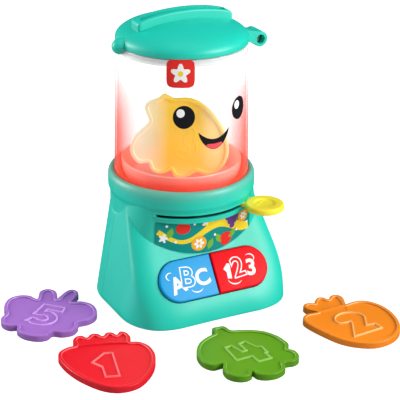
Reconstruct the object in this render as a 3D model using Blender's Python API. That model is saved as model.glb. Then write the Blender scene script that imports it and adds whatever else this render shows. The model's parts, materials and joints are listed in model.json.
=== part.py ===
"""Toy blender for a small child: a moulded foot with two push buttons, a swinging lever, a clear jar
with a glowing turntable, a hinged domed lid with a disc slot, and five picture discs.

Axes: +Z up, the jar's axis is Z, the front faces -Y, and the floor is z = 0. Lengths are metres.
"""

import math

import bmesh
import bpy
from mathutils import Matrix, Vector

# Clearances and mesh fineness
GAP = 0.0003
OVERRUN = 0.002
WELD_DISTANCE = 1e-7
ROUND_STEPS = 36
FINE_STEPS = 48
HIDDEN_STEPS = 24
SMALL_STEPS = 10
SHADE_ANGLE = math.radians(32)

# Foot of the housing, at the floor and at the waist under the collar
WALL = 0.0025
WAIST_Z = 0.092
FOOT_HALF_WIDTH = 0.0762
WAIST_INSET = 0.002
FOOT_FRONT_DEPTH = 0.0813
WAIST_FRONT_DEPTH = 0.1118
FOOT_CORNER_RADIUS = 0.0412
WAIST_CORNER_INSET = 0.0002
FOOT_BACK_SPREAD = 0.0025
WAIST_BACK_SPREAD = 0.0001
BLEND = 0.0221
FOOT_ROUND = 0.0012
PARTING_Y = 0.0023

# Apron behind the label, and the sloped button panel under it
APRON_RADIUS = 0.113
APRON_INSET = 0.0106
PANEL_SLOPE_ANGLE = math.radians(36.06)
PANEL_LEAD = 0.001
PANEL_MARK_Z = 0.0495
LIP_Z = 0.084
LIP_ROUND = 0.0006

# Drum and collar round the jar's foot
DRUM_RADIUS = 0.0613
COLLAR_BULGE = 0.0017
COLLAR_LOW_Z = 0.098
COLLAR_HIGH_Z = 0.106
COLLAR_TOP_Z = 0.112
COLLAR_ROUND = 0.0034
LEDGE = 0.002

# Jar
JAR_FOOT_INSET = 0.004
JAR_TAPER = 0.0023
JAR_WALL = 0.002
JAR_TOP_Z = 0.2242
JAR_FLANGE_REACH = 0.0022
JAR_FLANGE_THICKNESS = 0.0025
JAR_FOOT_Z = 0.096

# Lid
LID_OVERHANG = 0.0006
LID_EDGE_HEIGHT = 0.003
LID_DOME_HEIGHT = 0.0165
LID_WALL = 0.0022
LID_EDGE_ROUND = 0.0006
PLUG_CLEARANCE = 0.0013
PLUG_WALL = 0.002
PLUG_DEPTH = 0.0055
RIDGE_INSET = 0.0122
RIDGE_WIDTH = 0.015
RIDGE_RISE = 0.007
RIDGE_ROUND = 0.0012
DISC_SLOT_INSET = 0.0042
DISC_SLOT_WIDTH = 0.0068
NUB_REACH = 0.0078
NUB_RADIUS = 0.0066
NUB_ROOT = 0.0036
NUB_RISE = 0.0015

# Lid hinge, beside the jar's mouth on +X
HINGE_REACH = 0.015
HINGE_DROP = 0.0062
BARREL_RADIUS = 0.0066
BARREL_BORE_RADIUS = 0.004
LID_BARREL_LENGTH = 0.012
LID_BARREL_START_Y = -0.009
KNUCKLE_LENGTH = 0.006
BRACKET_WIDTH = 0.009
BRACKET_HEIGHT = 0.0145
BRACKET_THICKNESS = 0.0035
PIN_INSET = 0.0055

# Lever that swings in the drum's slot
SLOT_LOW_Z = 0.088
SLOT_HIGH_Z = 0.092
SLOT_HALF_ANGLE = math.radians(46.4)
LEVER_REST_ANGLE = math.radians(37.3)
LEVER_PADDLE_RADIUS = 0.0165
LEVER_PADDLE_LEAD = 0.0172
LEVER_PADDLE_THICKNESS = 0.0056
LEVER_PADDLE_RISE = 0.0009
LEVER_DIMPLE_RADIUS = 0.0095
LEVER_DIMPLE_DEPTH = 0.0012
LEVER_NECK_WIDTH = 0.016
LEVER_RING_CLEARANCE = 0.0023
LEVER_SLOT_CLEARANCE = 0.0004

# Gear train: the lever's inner teeth, an idler and the turntable's gear
GEAR_RING_BAND = 0.0085
SUN_TEETH = 32
IDLER_TEETH = 16
RING_TEETH = SUN_TEETH + 2 * IDLER_TEETH
RING_FIRST_TOOTH = -4
RING_LAST_TOOTH = 17
TOOTH_BACKLASH = 0.0005
PRESSURE_ANGLE = math.radians(20)
ADDENDUM_SHARE = 1.0
DEDENDUM_SHARE = 1.25

# Decks that carry the gears and the turntable
UPPER_DECK_THICKNESS = 0.002
DECK_RIM_WIDTH = 0.0035
SHAFT_RADIUS = 0.0044
AXLE_RADIUS = 0.0027
SPACER_RADIUS = 0.003
SPACER_OFFSET = 0.001
GUIDE_RIM_WIDTH = 0.0011
GUIDE_RIM_HEIGHT = 0.0025
BEARING_RADIUS = 0.009
BEARING_HEIGHT = 0.0053

# Turntable dish
DISH_CLEARANCE = 0.006
DISH_FLARE = 0.0068
DISH_WALL = 0.0017
DISH_FLOOR_Z = 0.105
DISH_RIM_Z = 0.1215
DISH_HUB_RADIUS = 0.0075

# Lamp board under the dish
LIGHT_BOARD_INSET = 0.0065
LIGHT_BOARD_BORE = 0.012
BOARD_THICKNESS = 0.0016
LED_RADIUS = 0.0025
LED_HEIGHT = 0.0045
LED_INSET = 0.010
LED_COUNT = 4

# Push buttons, set square to the sloped panel
BUTTONS_CENTRE_Z = 0.0355
BUTTONS_HALF_LENGTH = 0.0509
BUTTONS_HALF_HEIGHT = 0.0178
BUTTON_SIDE_GAP = 0.0007
BUTTON_SPLIT_GAP = 0.0008
BUTTON_RISE = 0.0026
BUTTON_ROUND = 0.0015
BUTTON_FLANGE_THICKNESS = 0.0015
BUTTON_FLANGE_START = 0.006
BUTTON_FLANGE_END = 0.026
BUTTON_FLANGE_REACH = 0.0020
BUTTON_FLANGE_STEP = 0.0009
BUTTON_TRAVEL = 0.002
PLUNGER_RADIUS = 0.0035
PLUNGER_LENGTH = 0.0029
PAD_DOME_RADIUS = 0.0055
PAD_DOME_HEIGHT = 0.0015
PAD_THICKNESS = 0.001
PAD_HALF_LENGTH = 0.033
PAD_HALF_HEIGHT = 0.010
BUTTON_BOARD_HALF_LENGTH = 0.036
BUTTON_BOARD_HALF_HEIGHT = 0.013
BUTTON_PLACE_X = 0.0235

# Label on the apron
LABEL_HALF_WIDTH = 0.0444
LABEL_THICKNESS = 0.0003
LABEL_MARGIN = 0.0008

# Base plate, battery box and door
BASE_THICKNESS = 0.0025
BOX_WALL = 0.002
CELL_RADIUS = 0.00725
CELL_LENGTH = 0.0495
CELL_CAP_RADIUS = 0.00275
CELL_CAP_LENGTH = 0.001
CELL_COUNT = 3
CONTACT_THICKNESS = 0.0006
CONTACT_SHARE = 0.8
DOOR_THICKNESS = 0.002
DOOR_MARGIN_X = 0.0034
DOOR_MARGIN_Y = 0.0055
DOOR_CORNER = 0.004
BOARD_RIB_X = 0.024
BOARD_RIB_THICKNESS = 0.002
BOARD_RIB_FOOT = 0.006

# Circuit board, power switch and speaker
BOARD_HALF_WIDTH = 0.020
BOARD_BOX_CLEARANCE = 0.00605
BOARD_BACK_CLEARANCE = 0.0088
BOARD_Z = 0.024
POST_RADIUS = 0.0025
POST_INSET = 0.004
SWITCH_BODY_WIDTH = 0.016
SWITCH_BODY_DEPTH = 0.006
SWITCH_BODY_HEIGHT = 0.005
KNOB_WIDTH = 0.005
KNOB_HEIGHT = 0.004
KNOB_TRAVEL = 0.006
KNOB_CLEARANCE = 0.0005
KNOB_RISE = 0.0018
KNOB_FLANGE_WIDTH = 0.017
KNOB_FLANGE_HEIGHT = 0.0074
KNOB_FLANGE_THICKNESS = 0.0015
KNOB_FLANGE_INSET = 0.0022
SPEAKER_Z = 0.056
SPEAKER_RADIUS = 0.0195
SPEAKER_FLANGE = 0.0015
SPEAKER_DEPTH = 0.012
SPEAKER_MAGNET_RADIUS = 0.011
SPEAKER_MAGNET_DEPTH = 0.005
SPEAKER_SEAT_INSET = 0.0088
SPEAKER_SEAT_WIDTH = 0.004
GRILLE_HOLE_RADIUS = 0.0019
GRILLE_PITCH = 0.0066
GRILLE_RINGS = 2

# Screws and their bosses
SCREW_RADIUS = 0.0015
SCREW_HEAD_RADIUS = 0.003
SCREW_HEAD_HEIGHT = 0.002
SCREW_LENGTH = 0.018
BOSS_RADIUS = 0.004
WELL_RADIUS = 0.0036
WELL_WALL = 0.0014
RIB_THICKNESS = 0.002
UPPER_SCREW_INSET = 0.0113
UPPER_SCREW_Z = 0.074
LOWER_SCREW_INSET = 0.0202
LOWER_SCREW_Z = 0.024
SCREW_SEAT_Y = 0.009
FRONT_BOSS_LENGTH = 0.014
BASE_SCREW_LENGTH = 0.010
BASE_BOSS_HEIGHT = 0.0105
BASE_PAD_HEIGHT = 0.0044
FRONT_BASE_SCREW_INSET = 0.0142
FRONT_BASE_SCREW_Y = -0.030
REAR_BASE_SCREW_INSET = 0.0222
REAR_BASE_SCREW_Y = 0.026
DOOR_SCREW_LENGTH = 0.0075
DOOR_SCREW_HEAD_HEIGHT = 0.0007

# Picture discs
DISC_SIZE = 0.040
DISC_THICKNESS = 0.0055
DISC_EDGE_ROUND = 0.0006
DISC_BORDER = 0.0034
DISC_RECESS = 0.0009
DISC_CURVE_STEPS = 2
JAR_DISC_LEAN = math.radians(8)
JAR_DISC_TURN = math.radians(-27.6)
JAR_DISC_FORWARD = 0.005
JAR_DISC_SIDE = -0.0018

# Each disc's outline is a smooth closed curve through these points: x and y as shares of DISC_SIZE
BERRY_SHARES = (
    (0.50, 0.65), (0.53, 0.85), (0.45, 1.05), (0.34, 1.09), (0.26, 0.97), (0.18, 1.07), (0.06, 1.08),
    (-0.03, 0.95), (-0.13, 1.06), (-0.26, 1.06), (-0.36, 0.93), (-0.46, 1.02), (-0.58, 0.99), (-0.65, 0.84),
    (-0.62, 0.65), (-0.82, 0.55), (-0.97, 0.38), (-0.97, 0.10), (-0.80, -0.33), (-0.54, -0.71),
    (-0.20, -1.03), (0.15, -1.13), (0.53, -0.97), (0.83, -0.49), (0.94, 0.02), (0.87, 0.40), (0.70, 0.60),
)
BUSHY_SHARES = (
    (0.92, 0.00), (0.86, 0.29), (0.70, 0.52), (0.53, 0.67), (0.37, 0.80), (0.38, 1.01), (0.27, 1.08),
    (0.13, 1.11), (0.02, 0.93), (-0.18, 0.91), (-0.45, 0.85), (-0.69, 0.69), (-0.87, 0.47), (-0.96, 0.20),
    (-0.90, -0.01), (-0.70, -0.08), (-0.83, -0.22), (-0.91, -0.42), (-0.87, -0.61), (-0.74, -0.74),
    (-0.58, -0.76), (-0.47, -0.69), (-0.48, -0.84), (-0.38, -0.98), (-0.20, -1.07), (0.00, -1.07),
    (0.14, -1.00), (0.23, -0.88), (0.42, -0.96), (0.58, -0.94), (0.70, -0.82), (0.74, -0.67), (0.71, -0.53),
    (0.85, -0.40), (0.90, -0.22),
)
ROUND_FRUIT_SHARES = (
    (0.18, 0.66), (0.24, 0.84), (0.25, 1.03), (0.15, 1.13), (0.03, 1.10), (-0.08, 0.98), (-0.15, 1.09),
    (-0.27, 1.11), (-0.38, 1.00), (-0.44, 0.90), (-0.60, 0.94), (-0.71, 0.86), (-0.69, 0.68), (-0.54, 0.51),
    (-0.76, 0.49), (-0.92, 0.37), (-0.94, 0.12), (-0.71, -0.45), (-0.50, -0.79), (-0.20, -1.02),
    (0.12, -1.11), (0.50, -1.01), (0.79, -0.75), (0.94, -0.40), (0.98, 0.00), (0.91, 0.35), (0.74, 0.61),
    (0.54, 0.71), (0.33, 0.69),
)
CLUSTER_SHARES = (
    (0.36, 0.60), (0.38, 0.95), (0.28, 1.11), (0.15, 1.11), (0.08, 0.98), (0.01, 0.63), (-0.08, 0.87),
    (-0.20, 0.99), (-0.36, 1.00), (-0.46, 0.84), (-0.40, 0.51), (-0.62, 0.60), (-0.84, 0.55),
    (-0.98, 0.37), (-0.99, 0.15), (-0.93, -0.08), (-0.81, -0.29), (-0.82, -0.53), (-0.70, -0.72),
    (-0.53, -0.79), (-0.38, -0.74), (-0.31, -0.91), (-0.10, -1.05), (0.18, -1.07), (0.36, -0.96),
    (0.42, -0.78), (0.62, -0.76), (0.80, -0.62), (0.84, -0.41), (0.80, -0.25), (0.97, -0.09), (1.05, 0.14),
    (0.98, 0.40), (0.80, 0.60), (0.56, 0.65),
)
LEANING_FRUIT_SHARES = (
    (-0.10, 0.85), (0.13, 0.86), (0.31, 0.83), (0.52, 0.72), (0.75, 0.50), (0.91, 0.27), (1.01, 0.02),
    (1.06, -0.27), (0.98, -0.55), (0.80, -0.74), (0.60, -0.80), (0.38, -0.74), (0.23, -0.82),
    (0.05, -0.87), (-0.10, -0.83), (-0.17, -0.71), (-0.32, -0.77), (-0.48, -0.77), (-0.60, -0.69),
    (-0.66, -0.55), (-0.85, -0.56), (-0.98, -0.44), (-1.04, -0.24), (-0.96, 0.02), (-0.80, 0.18),
    (-0.64, 0.36), (-0.69, 0.52), (-0.73, 0.67), (-0.65, 0.77), (-0.47, 0.84), (-0.33, 0.94),
    (-0.22, 0.90),
)

# Where each loose disc lies on the floor: x and y of its centre
RED_DISC_PLACE = (-0.1165, -0.1054)
GREEN_DISC_PLACE = (-0.0125, -0.1411)
ORANGE_DISC_PLACE = (0.0925, -0.1338)
PURPLE_DISC_PLACE = (-0.1314, -0.0098)
RED_DISC_ANGLE = math.radians(-18.3)
GREEN_DISC_ANGLE = math.radians(15.6)
ORANGE_DISC_ANGLE = math.radians(-8.3)
PURPLE_DISC_ANGLE = math.radians(-41.8)

# Heights and radii that follow from the sizes above
SLOPE = math.tan(PANEL_SLOPE_ANGLE)
SECANT = 1 / math.cos(PANEL_SLOPE_ANGLE)
WAIST_HALF_WIDTH = DRUM_RADIUS - WAIST_INSET
WAIST_CORNER_RADIUS = DRUM_RADIUS - WAIST_CORNER_INSET
WAIST_BACK_DEPTH = DRUM_RADIUS + WAIST_BACK_SPREAD
FOOT_BACK_DEPTH = DRUM_RADIUS + FOOT_BACK_SPREAD
APRON_FRONT = DRUM_RADIUS - APRON_INSET
PANEL_FRONT = APRON_FRONT + PANEL_LEAD
COLLAR_RADIUS = DRUM_RADIUS + COLLAR_BULGE
JAR_FOOT_RADIUS = DRUM_RADIUS - JAR_FOOT_INSET
JAR_MOUTH_RADIUS = JAR_FOOT_RADIUS - JAR_TAPER
LID_RADIUS = JAR_MOUTH_RADIUS + LID_OVERHANG
PLUG_RADIUS = JAR_MOUTH_RADIUS - JAR_WALL - PLUG_CLEARANCE
RIDGE_HALF_LENGTH = LID_RADIUS - RIDGE_INSET
DISC_SLOT_LENGTH = 2 * (RIDGE_HALF_LENGTH - DISC_SLOT_INSET)
HINGE_X = JAR_MOUTH_RADIUS + HINGE_REACH
LEVER_RING_RADIUS = DRUM_RADIUS - WALL - LEVER_RING_CLEARANCE
LEVER_PADDLE_REACH = DRUM_RADIUS + LEVER_PADDLE_LEAD
GEAR_MODULE = 2 * (LEVER_RING_RADIUS - GEAR_RING_BAND) / RING_TEETH
DISH_RIM_RADIUS = JAR_FOOT_RADIUS - DISH_CLEARANCE
DISH_FLOOR_RADIUS = DISH_RIM_RADIUS - DISH_FLARE
LIGHT_BOARD_RADIUS = DISH_FLOOR_RADIUS - LIGHT_BOARD_INSET
LED_CIRCLE_RADIUS = LIGHT_BOARD_RADIUS - LED_INSET
BOARD_BACK_Y = FOOT_BACK_DEPTH - BOARD_BACK_CLEARANCE
SPEAKER_SEAT_Y = FOOT_BACK_DEPTH - SPEAKER_SEAT_INSET
UPPER_SCREW_X = DRUM_RADIUS - UPPER_SCREW_INSET
LOWER_SCREW_X = FOOT_HALF_WIDTH - LOWER_SCREW_INSET
FRONT_BASE_SCREW_X = FOOT_HALF_WIDTH - FRONT_BASE_SCREW_INSET
REAR_BASE_SCREW_X = FOOT_HALF_WIDTH - REAR_BASE_SCREW_INSET
DRUM_BORE = DRUM_RADIUS - WALL
LIP_FLOOR_Z = LIP_Z + WALL - LIP_ROUND / 3
LEVER_LOW_Z = SLOT_LOW_Z + LEVER_SLOT_CLEARANCE
LEVER_HIGH_Z = SLOT_HIGH_Z - LEVER_SLOT_CLEARANCE
DECK_LOW_Z = LIP_FLOOR_Z + GAP
DECK_HIGH_Z = LEVER_LOW_Z - GAP
DECK_RADIUS = DRUM_BORE - GAP
UPPER_DECK_Z = LEVER_HIGH_Z + GAP
UPPER_DECK_TOP_Z = UPPER_DECK_Z + UPPER_DECK_THICKNESS
JAR_SEAT_Z = JAR_FOOT_Z - GAP
FLANGE_RADIUS = JAR_FOOT_RADIUS + JAR_FLANGE_REACH
GROOVE_TOP_Z = JAR_FOOT_Z + JAR_FLANGE_THICKNESS + GAP
COLLAR_BORE = JAR_FOOT_RADIUS + GAP
LID_Z = JAR_TOP_Z + GAP
DOME_Z = LID_Z + LID_EDGE_HEIGHT
HINGE_Z = JAR_TOP_Z - HINGE_DROP
IDLER_REACH = GEAR_MODULE * (SUN_TEETH + IDLER_TEETH) / 2
SPACER_REACH = IDLER_REACH + SPACER_OFFSET
BEARING_TOP_Z = UPPER_DECK_TOP_Z + BEARING_HEIGHT
CELL_Z = DOOR_THICKNESS + GAP + CELL_RADIUS
CELL_PITCH = 2 * CELL_RADIUS + GAP
CAVITY_HALF_X = CELL_PITCH * (CELL_COUNT - 1) / 2 + CELL_RADIUS + GAP
CAVITY_HALF_Y = (CELL_LENGTH + CELL_CAP_LENGTH) / 2 + GAP + CONTACT_THICKNESS + GAP
BOARD_FRONT_Y = CAVITY_HALF_Y + BOX_WALL + BOARD_BOX_CLEARANCE
CAVITY_TOP_Z = CELL_Z + CELL_RADIUS + GAP
BOX_TOP_Z = CAVITY_TOP_Z + BOX_WALL
DOOR_HALF_X = CAVITY_HALF_X + DOOR_MARGIN_X
DOOR_HALF_Y = CAVITY_HALF_Y + DOOR_MARGIN_Y
DOOR_SCREW_Y = (CAVITY_HALF_Y + DOOR_HALF_Y) / 2
SWITCH_Z = BOARD_Z + BOARD_THICKNESS + GAP
KNOB_Z = SWITCH_Z + SWITCH_BODY_HEIGHT / 2
PAD_TOP_DEPTH = WALL + GAP + BUTTON_FLANGE_THICKNESS + PLUNGER_LENGTH + BUTTON_TRAVEL + GAP
PAD_DEPTH = PAD_TOP_DEPTH + PAD_DOME_HEIGHT + PAD_THICKNESS
BUTTON_BOARD_DEPTH = PAD_DEPTH + GAP + BOARD_THICKNESS


def material(name, colour, roughness, metallic=0.0, alpha=1.0, transmission=0.0):
    made = bpy.data.materials.new(name)
    made.use_nodes = True
    made.diffuse_color = (*colour, alpha)
    shader = made.node_tree.nodes["Principled BSDF"]
    shader.inputs["Base Color"].default_value = (*colour, 1.0)
    shader.inputs["Roughness"].default_value = roughness
    shader.inputs["Metallic"].default_value = metallic
    shader.inputs["Alpha"].default_value = alpha
    shader.inputs["Transmission Weight"].default_value = transmission
    return made


def finish(name, mesh_data, colour_material, parent=None):
    """Turns a bmesh into a named object with outward faces and smooth round sides."""
    bmesh.ops.remove_doubles(mesh_data, verts=mesh_data.verts, dist=WELD_DISTANCE)
    bmesh.ops.dissolve_degenerate(mesh_data, edges=mesh_data.edges, dist=WELD_DISTANCE)
    bmesh.ops.recalc_face_normals(mesh_data, faces=mesh_data.faces)
    mesh = bpy.data.meshes.new(name)
    mesh_data.to_mesh(mesh)
    mesh_data.free()
    mesh.shade_smooth()
    mesh.set_sharp_from_angle(angle=SHADE_ANGLE)
    made = bpy.data.objects.new(name, mesh)
    bpy.context.scene.collection.objects.link(made)
    if colour_material:
        made.data.materials.append(colour_material)
    made.parent = parent
    return made


def tool(name, mesh_data, parent=None):
    """A hidden helper for a Boolean."""
    made = finish(name, mesh_data, None, parent)
    made.hide_render = True
    made.display_type = "WIRE"
    return made


def combine(target, other, operation):
    modifier = target.modifiers.new(operation.lower() + "_" + other.name, "BOOLEAN")
    modifier.operation = operation
    modifier.solver = "EXACT"
    modifier.use_self = True
    modifier.object = other
    return target


def add(target, *pieces):
    """Fuses pieces to a target; they may run into each other."""
    return combine(target, tool(target.name + "_added", joined(*pieces), target.parent), "UNION")


def cut(target, *pieces):
    """Cuts pieces out of a target; they may run into each other."""
    return combine(target, tool(target.name + "_cut", joined(*pieces), target.parent), "DIFFERENCE")


def revolved(profile, steps, closed=False):
    """Spins a profile of (radius, z) points a full turn round Z."""
    made = bmesh.new()
    points = [made.verts.new((radius, 0, z)) for radius, z in profile]
    edges = [made.edges.new(pair) for pair in zip(points, points[1:])]
    if closed:
        edges.append(made.edges.new((points[-1], points[0])))
    bmesh.ops.spin(
        made, geom=points + edges, cent=(0, 0, 0), axis=(0, 0, 1), dvec=(0, 0, 0),
        angle=math.tau, steps=steps, use_merge=True, use_duplicate=False,
    )
    bmesh.ops.remove_doubles(made, verts=made.verts, dist=WELD_DISTANCE)
    bmesh.ops.recalc_face_normals(made, faces=made.faces)
    return made


def lofted(rings):
    """Joins equal rings of points with faces, and closes the first and the last."""
    made = bmesh.new()
    rows = [[made.verts.new(point) for point in ring] for ring in rings]
    for low, high in zip(rows, rows[1:]):
        for index in range(len(low)):
            before = index - 1
            made.faces.new((low[before], low[index], high[index], high[before]))
    made.faces.new(reversed(rows[0]))
    made.faces.new(rows[-1])
    bmesh.ops.recalc_face_normals(made, faces=made.faces)
    return made


def extruded(outline, low, high):
    return lofted([[(x, y, z) for x, y in outline] for z in (low, high)])


def extruded_along_y(outline, low, high):
    return lofted([[(x, y, z) for x, z in outline] for y in (low, high)])


def extruded_along_x(outline, low, high):
    return lofted([[(x, y, z) for y, z in outline] for x in (low, high)])


def block(x_range, y_range, z_range):
    low_x, high_x = x_range
    low_y, high_y = y_range
    outline = [(low_x, low_y), (high_x, low_y), (high_x, high_y), (low_x, high_y)]
    return extruded(outline, *z_range)


def circle(radius, steps, centre=(0, 0), first=0.0, last=math.tau):
    """Points of an arc; a full circle leaves out the repeated last point."""
    full = abs(last - first - math.tau) < WELD_DISTANCE
    count = steps if full else steps + 1
    turns = [first + index * (last - first) / steps for index in range(count)]
    return [(centre[0] + radius * math.cos(turn), centre[1] + radius * math.sin(turn)) for turn in turns]


def rod(radius, low, high, steps=SMALL_STEPS, centre=(0, 0)):
    return extruded(circle(radius, steps, centre), low, high)


def rod_along_y(radius, low, high, centre, steps=SMALL_STEPS):
    return extruded_along_y(circle(radius, steps, centre), low, high)


def moved(mesh_data, matrix):
    mesh_data.transform(matrix)
    return mesh_data


def joined(*pieces):
    """Puts several bmeshes into one; they stay separate bodies."""
    made = bmesh.new()
    for piece in pieces:
        mesh = bpy.data.meshes.new("joined")
        piece.to_mesh(mesh)
        made.from_mesh(mesh)
        bpy.data.meshes.remove(mesh)
        piece.free()
    return made


def blend_between(low, high, share):
    return low + (high - low) * share


def rounded_front(angle, half_width, depth, corner):
    """Radius of a rounded rectangle, measured from its middle; angle 0 is the front."""
    side = abs(math.sin(angle))
    front = max(math.cos(angle), 1e-9)
    reach = side * (half_width - corner) + front * (depth - corner)
    rest = (half_width - corner) ** 2 + (depth - corner) ** 2 - corner ** 2
    inside = reach * reach - rest
    if inside >= 0:
        arc = reach + math.sqrt(inside)
        if arc * side > half_width - corner and arc * front > depth - corner:
            return arc
    return min(half_width / max(side, 1e-9), depth / front)


def soft_minimum(first, second):
    """The smaller of two radii, rounded over where they meet."""
    near = max(BLEND - abs(first - second), 0) / BLEND
    return min(first, second) - near * near * BLEND / 4


def apron_radius(angle):
    """Distance from the jar's axis to the upright apron, an arc of larger radius."""
    offset = (APRON_RADIUS - APRON_FRONT) * math.cos(angle)
    rest = APRON_RADIUS ** 2 - (APRON_RADIUS - APRON_FRONT) ** 2
    return -offset + math.sqrt(offset * offset + rest)


def panel_depth(z):
    """How far in front of the jar's axis the sloped panel lies at this height."""
    return PANEL_FRONT - SLOPE * (z - PANEL_MARK_Z)


def crease_height(angle):
    """Height where the apron meets the sloped panel."""
    return PANEL_MARK_Z + (PANEL_FRONT - apron_radius(angle) * math.cos(angle)) / SLOPE


def skirt_radius(angle, z):
    """Outer radius of the moulded foot: a rounded block in front, cut by the apron and the panel."""
    share = z / WAIST_Z
    half_width = blend_between(FOOT_HALF_WIDTH, WAIST_HALF_WIDTH, share)
    back = blend_between(FOOT_BACK_DEPTH, WAIST_BACK_DEPTH, share)
    side = math.sin(angle)
    front = math.cos(angle)
    if front <= 0:
        return half_width * back / math.hypot(back * side, half_width * front)
    depth = blend_between(FOOT_FRONT_DEPTH, WAIST_FRONT_DEPTH, share)
    corner = blend_between(FOOT_CORNER_RADIUS, WAIST_CORNER_RADIUS, share)
    corner = min(corner, half_width - GAP, depth - GAP)
    face = max(apron_radius(angle), panel_depth(z) / max(front, 1e-3))
    return soft_minimum(rounded_front(angle, half_width, depth, corner), face)


def body_radius(angle, z):
    """Outer radius below the lip: never inside the drum except over the apron."""
    apron = apron_radius(angle) if math.cos(angle) > 0 else DRUM_RADIUS
    radius = max(skirt_radius(angle, z), min(apron, DRUM_RADIUS))
    return DRUM_RADIUS if abs(radius - DRUM_RADIUS) < GAP else radius


def inner_radius(angle, z, below=True):
    """The body's radius less one wall, measured square to the surface."""
    radius = body_radius(angle, z)
    rise = -WALL / 10 if below else WALL / 10
    along = (body_radius(angle, z + rise) - radius) / rise
    turn = WALL / radius / 4
    around = (body_radius(angle + turn, z) - body_radius(angle - turn, z)) / (2 * turn * radius)
    return radius - WALL * min(math.sqrt(1 + along * along + around * around), 2)


def outer_column(angle, inset=0.0):
    """(radius, z) points up the outside at one angle, from the floor to the collar's inner edge."""
    crease = min(crease_height(angle), LIP_Z - 2 * WALL) if math.cos(angle) > 0 else LIP_Z - 2 * WALL
    column = [
        (body_radius(angle, 0) - FOOT_ROUND, 0.0),
        (body_radius(angle, 0) - FOOT_ROUND * 0.3, FOOT_ROUND * 0.3),
        (body_radius(angle, FOOT_ROUND), FOOT_ROUND),
    ]
    for share in (0.15, 0.34, 0.55, 0.78, 1.0):
        z = blend_between(FOOT_ROUND, crease, share)
        column.append((body_radius(angle, z), z))
    for share in (0.5, 1.0):
        z = blend_between(crease, LIP_Z, share)
        column.append((body_radius(angle, z), z))
    lip = min(max(DRUM_RADIUS - column[-1][0], 0) / 2, LIP_ROUND)
    shoulder = COLLAR_TOP_Z - COLLAR_ROUND
    drum = [
        (DRUM_RADIUS - lip, LIP_Z),
        (DRUM_RADIUS, LIP_Z + LIP_ROUND),
        (DRUM_RADIUS, SLOT_HIGH_Z + LIP_ROUND),
        (blend_between(DRUM_RADIUS, COLLAR_RADIUS, 0.6), blend_between(SLOT_HIGH_Z, COLLAR_LOW_Z, 0.6)),
        (COLLAR_RADIUS, COLLAR_LOW_Z),
        (COLLAR_RADIUS, COLLAR_HIGH_Z),
        (COLLAR_RADIUS - COLLAR_ROUND * 0.18, blend_between(COLLAR_HIGH_Z, COLLAR_TOP_Z, 0.55)),
        (COLLAR_RADIUS - COLLAR_ROUND * 0.55, blend_between(shoulder, COLLAR_TOP_Z, 0.82)),
        (COLLAR_RADIUS - COLLAR_ROUND, COLLAR_TOP_Z),
        (blend_between(COLLAR_BORE, COLLAR_RADIUS - COLLAR_ROUND, 0.35), COLLAR_TOP_Z - COLLAR_ROUND * 0.08),
        (COLLAR_BORE, COLLAR_TOP_Z - COLLAR_ROUND * 0.35),
    ]
    for radius, z in drum:
        if LIP_Z <= z < COLLAR_LOW_Z:
            radius = max(radius, skirt_radius(angle, z))
        column.append((radius, z))
    return [(radius - inset, z) for radius, z in column]


def inner_column(angle):
    """(radius, z) points down the inside: the jar's groove, the gear drum, and the foot's hollow."""
    crease = min(crease_height(angle), LIP_Z - 2 * WALL) if math.cos(angle) > 0 else LIP_Z - 2 * WALL
    crease -= WALL * (SECANT - 1) / SLOPE
    ledge = min(inner_radius(angle, LIP_Z - WALL, below=False), DRUM_BORE - LEDGE)
    column = [
        (COLLAR_BORE, GROOVE_TOP_Z),
        (FLANGE_RADIUS + GAP, GROOVE_TOP_Z),
        (FLANGE_RADIUS + GAP, JAR_SEAT_Z),
        (DRUM_BORE, JAR_SEAT_Z),
        (DRUM_BORE, LIP_FLOOR_Z),
        (ledge, LIP_FLOOR_Z),
        (min(inner_radius(angle, LIP_Z - 2 * WALL, below=False), DRUM_BORE), LIP_Z - WALL),
    ]
    for share in (1.0, 0.66, 0.33, 0.0):
        z = crease * share
        column.append((inner_radius(angle, z), z))
    return column


def column_point(angle, radius, z):
    return (radius * math.sin(angle), -radius * math.cos(angle), z)


def housing_shell():
    """The whole moulded foot, drum and collar as one thin shell of upright columns."""
    made = bmesh.new()
    columns = []
    for index in range(FINE_STEPS):
        angle = math.tau * index / FINE_STEPS
        angle = angle - math.tau if angle > math.pi else angle
        profile = outer_column(angle) + inner_column(angle)
        columns.append([made.verts.new(column_point(angle, radius, z)) for radius, z in profile])
    for index, column in enumerate(columns):
        before = columns[index - 1]
        for row in range(len(column)):
            made.faces.new((before[row - 1], column[row - 1], column[row], before[row]))
    return made


def housing_core():
    """The solid inside the outer skin, which trims bosses and ribs to the wall."""
    rings = []
    for row in range(len(outer_column(0.0))):
        ring = []
        for index in range(FINE_STEPS):
            angle = math.tau * index / FINE_STEPS
            angle = angle - math.tau if angle > math.pi else angle
            radius, z = outer_column(angle, WALL / 3)[row]
            ring.append(column_point(angle, radius, z))
        rings.append(ring)
    return lofted(rings[:-2])


def half_space(front):
    """Everything on the other side of the parting line, with half the gap."""
    reach = 2 * COLLAR_TOP_Z
    if front:
        y_range = (PARTING_Y - GAP / 2, reach)
    else:
        y_range = (-reach, PARTING_Y + GAP / 2)
    return block((-reach, reach), y_range, (-OVERRUN, reach))


def slot_sector():
    """The part of a ring that the lever's slot takes out of the drum."""
    steps = FINE_STEPS // 3
    first = -math.pi / 2 - SLOT_HALF_ANGLE
    last = -math.pi / 2 + SLOT_HALF_ANGLE
    outside = circle(DRUM_RADIUS + OVERRUN, steps, (0, 0), first, last)
    inside = circle(DRUM_BORE - OVERRUN, steps, (0, 0), first, last)
    return extruded(outside + inside[::-1], SLOT_LOW_Z, SLOT_HIGH_Z)


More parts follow.
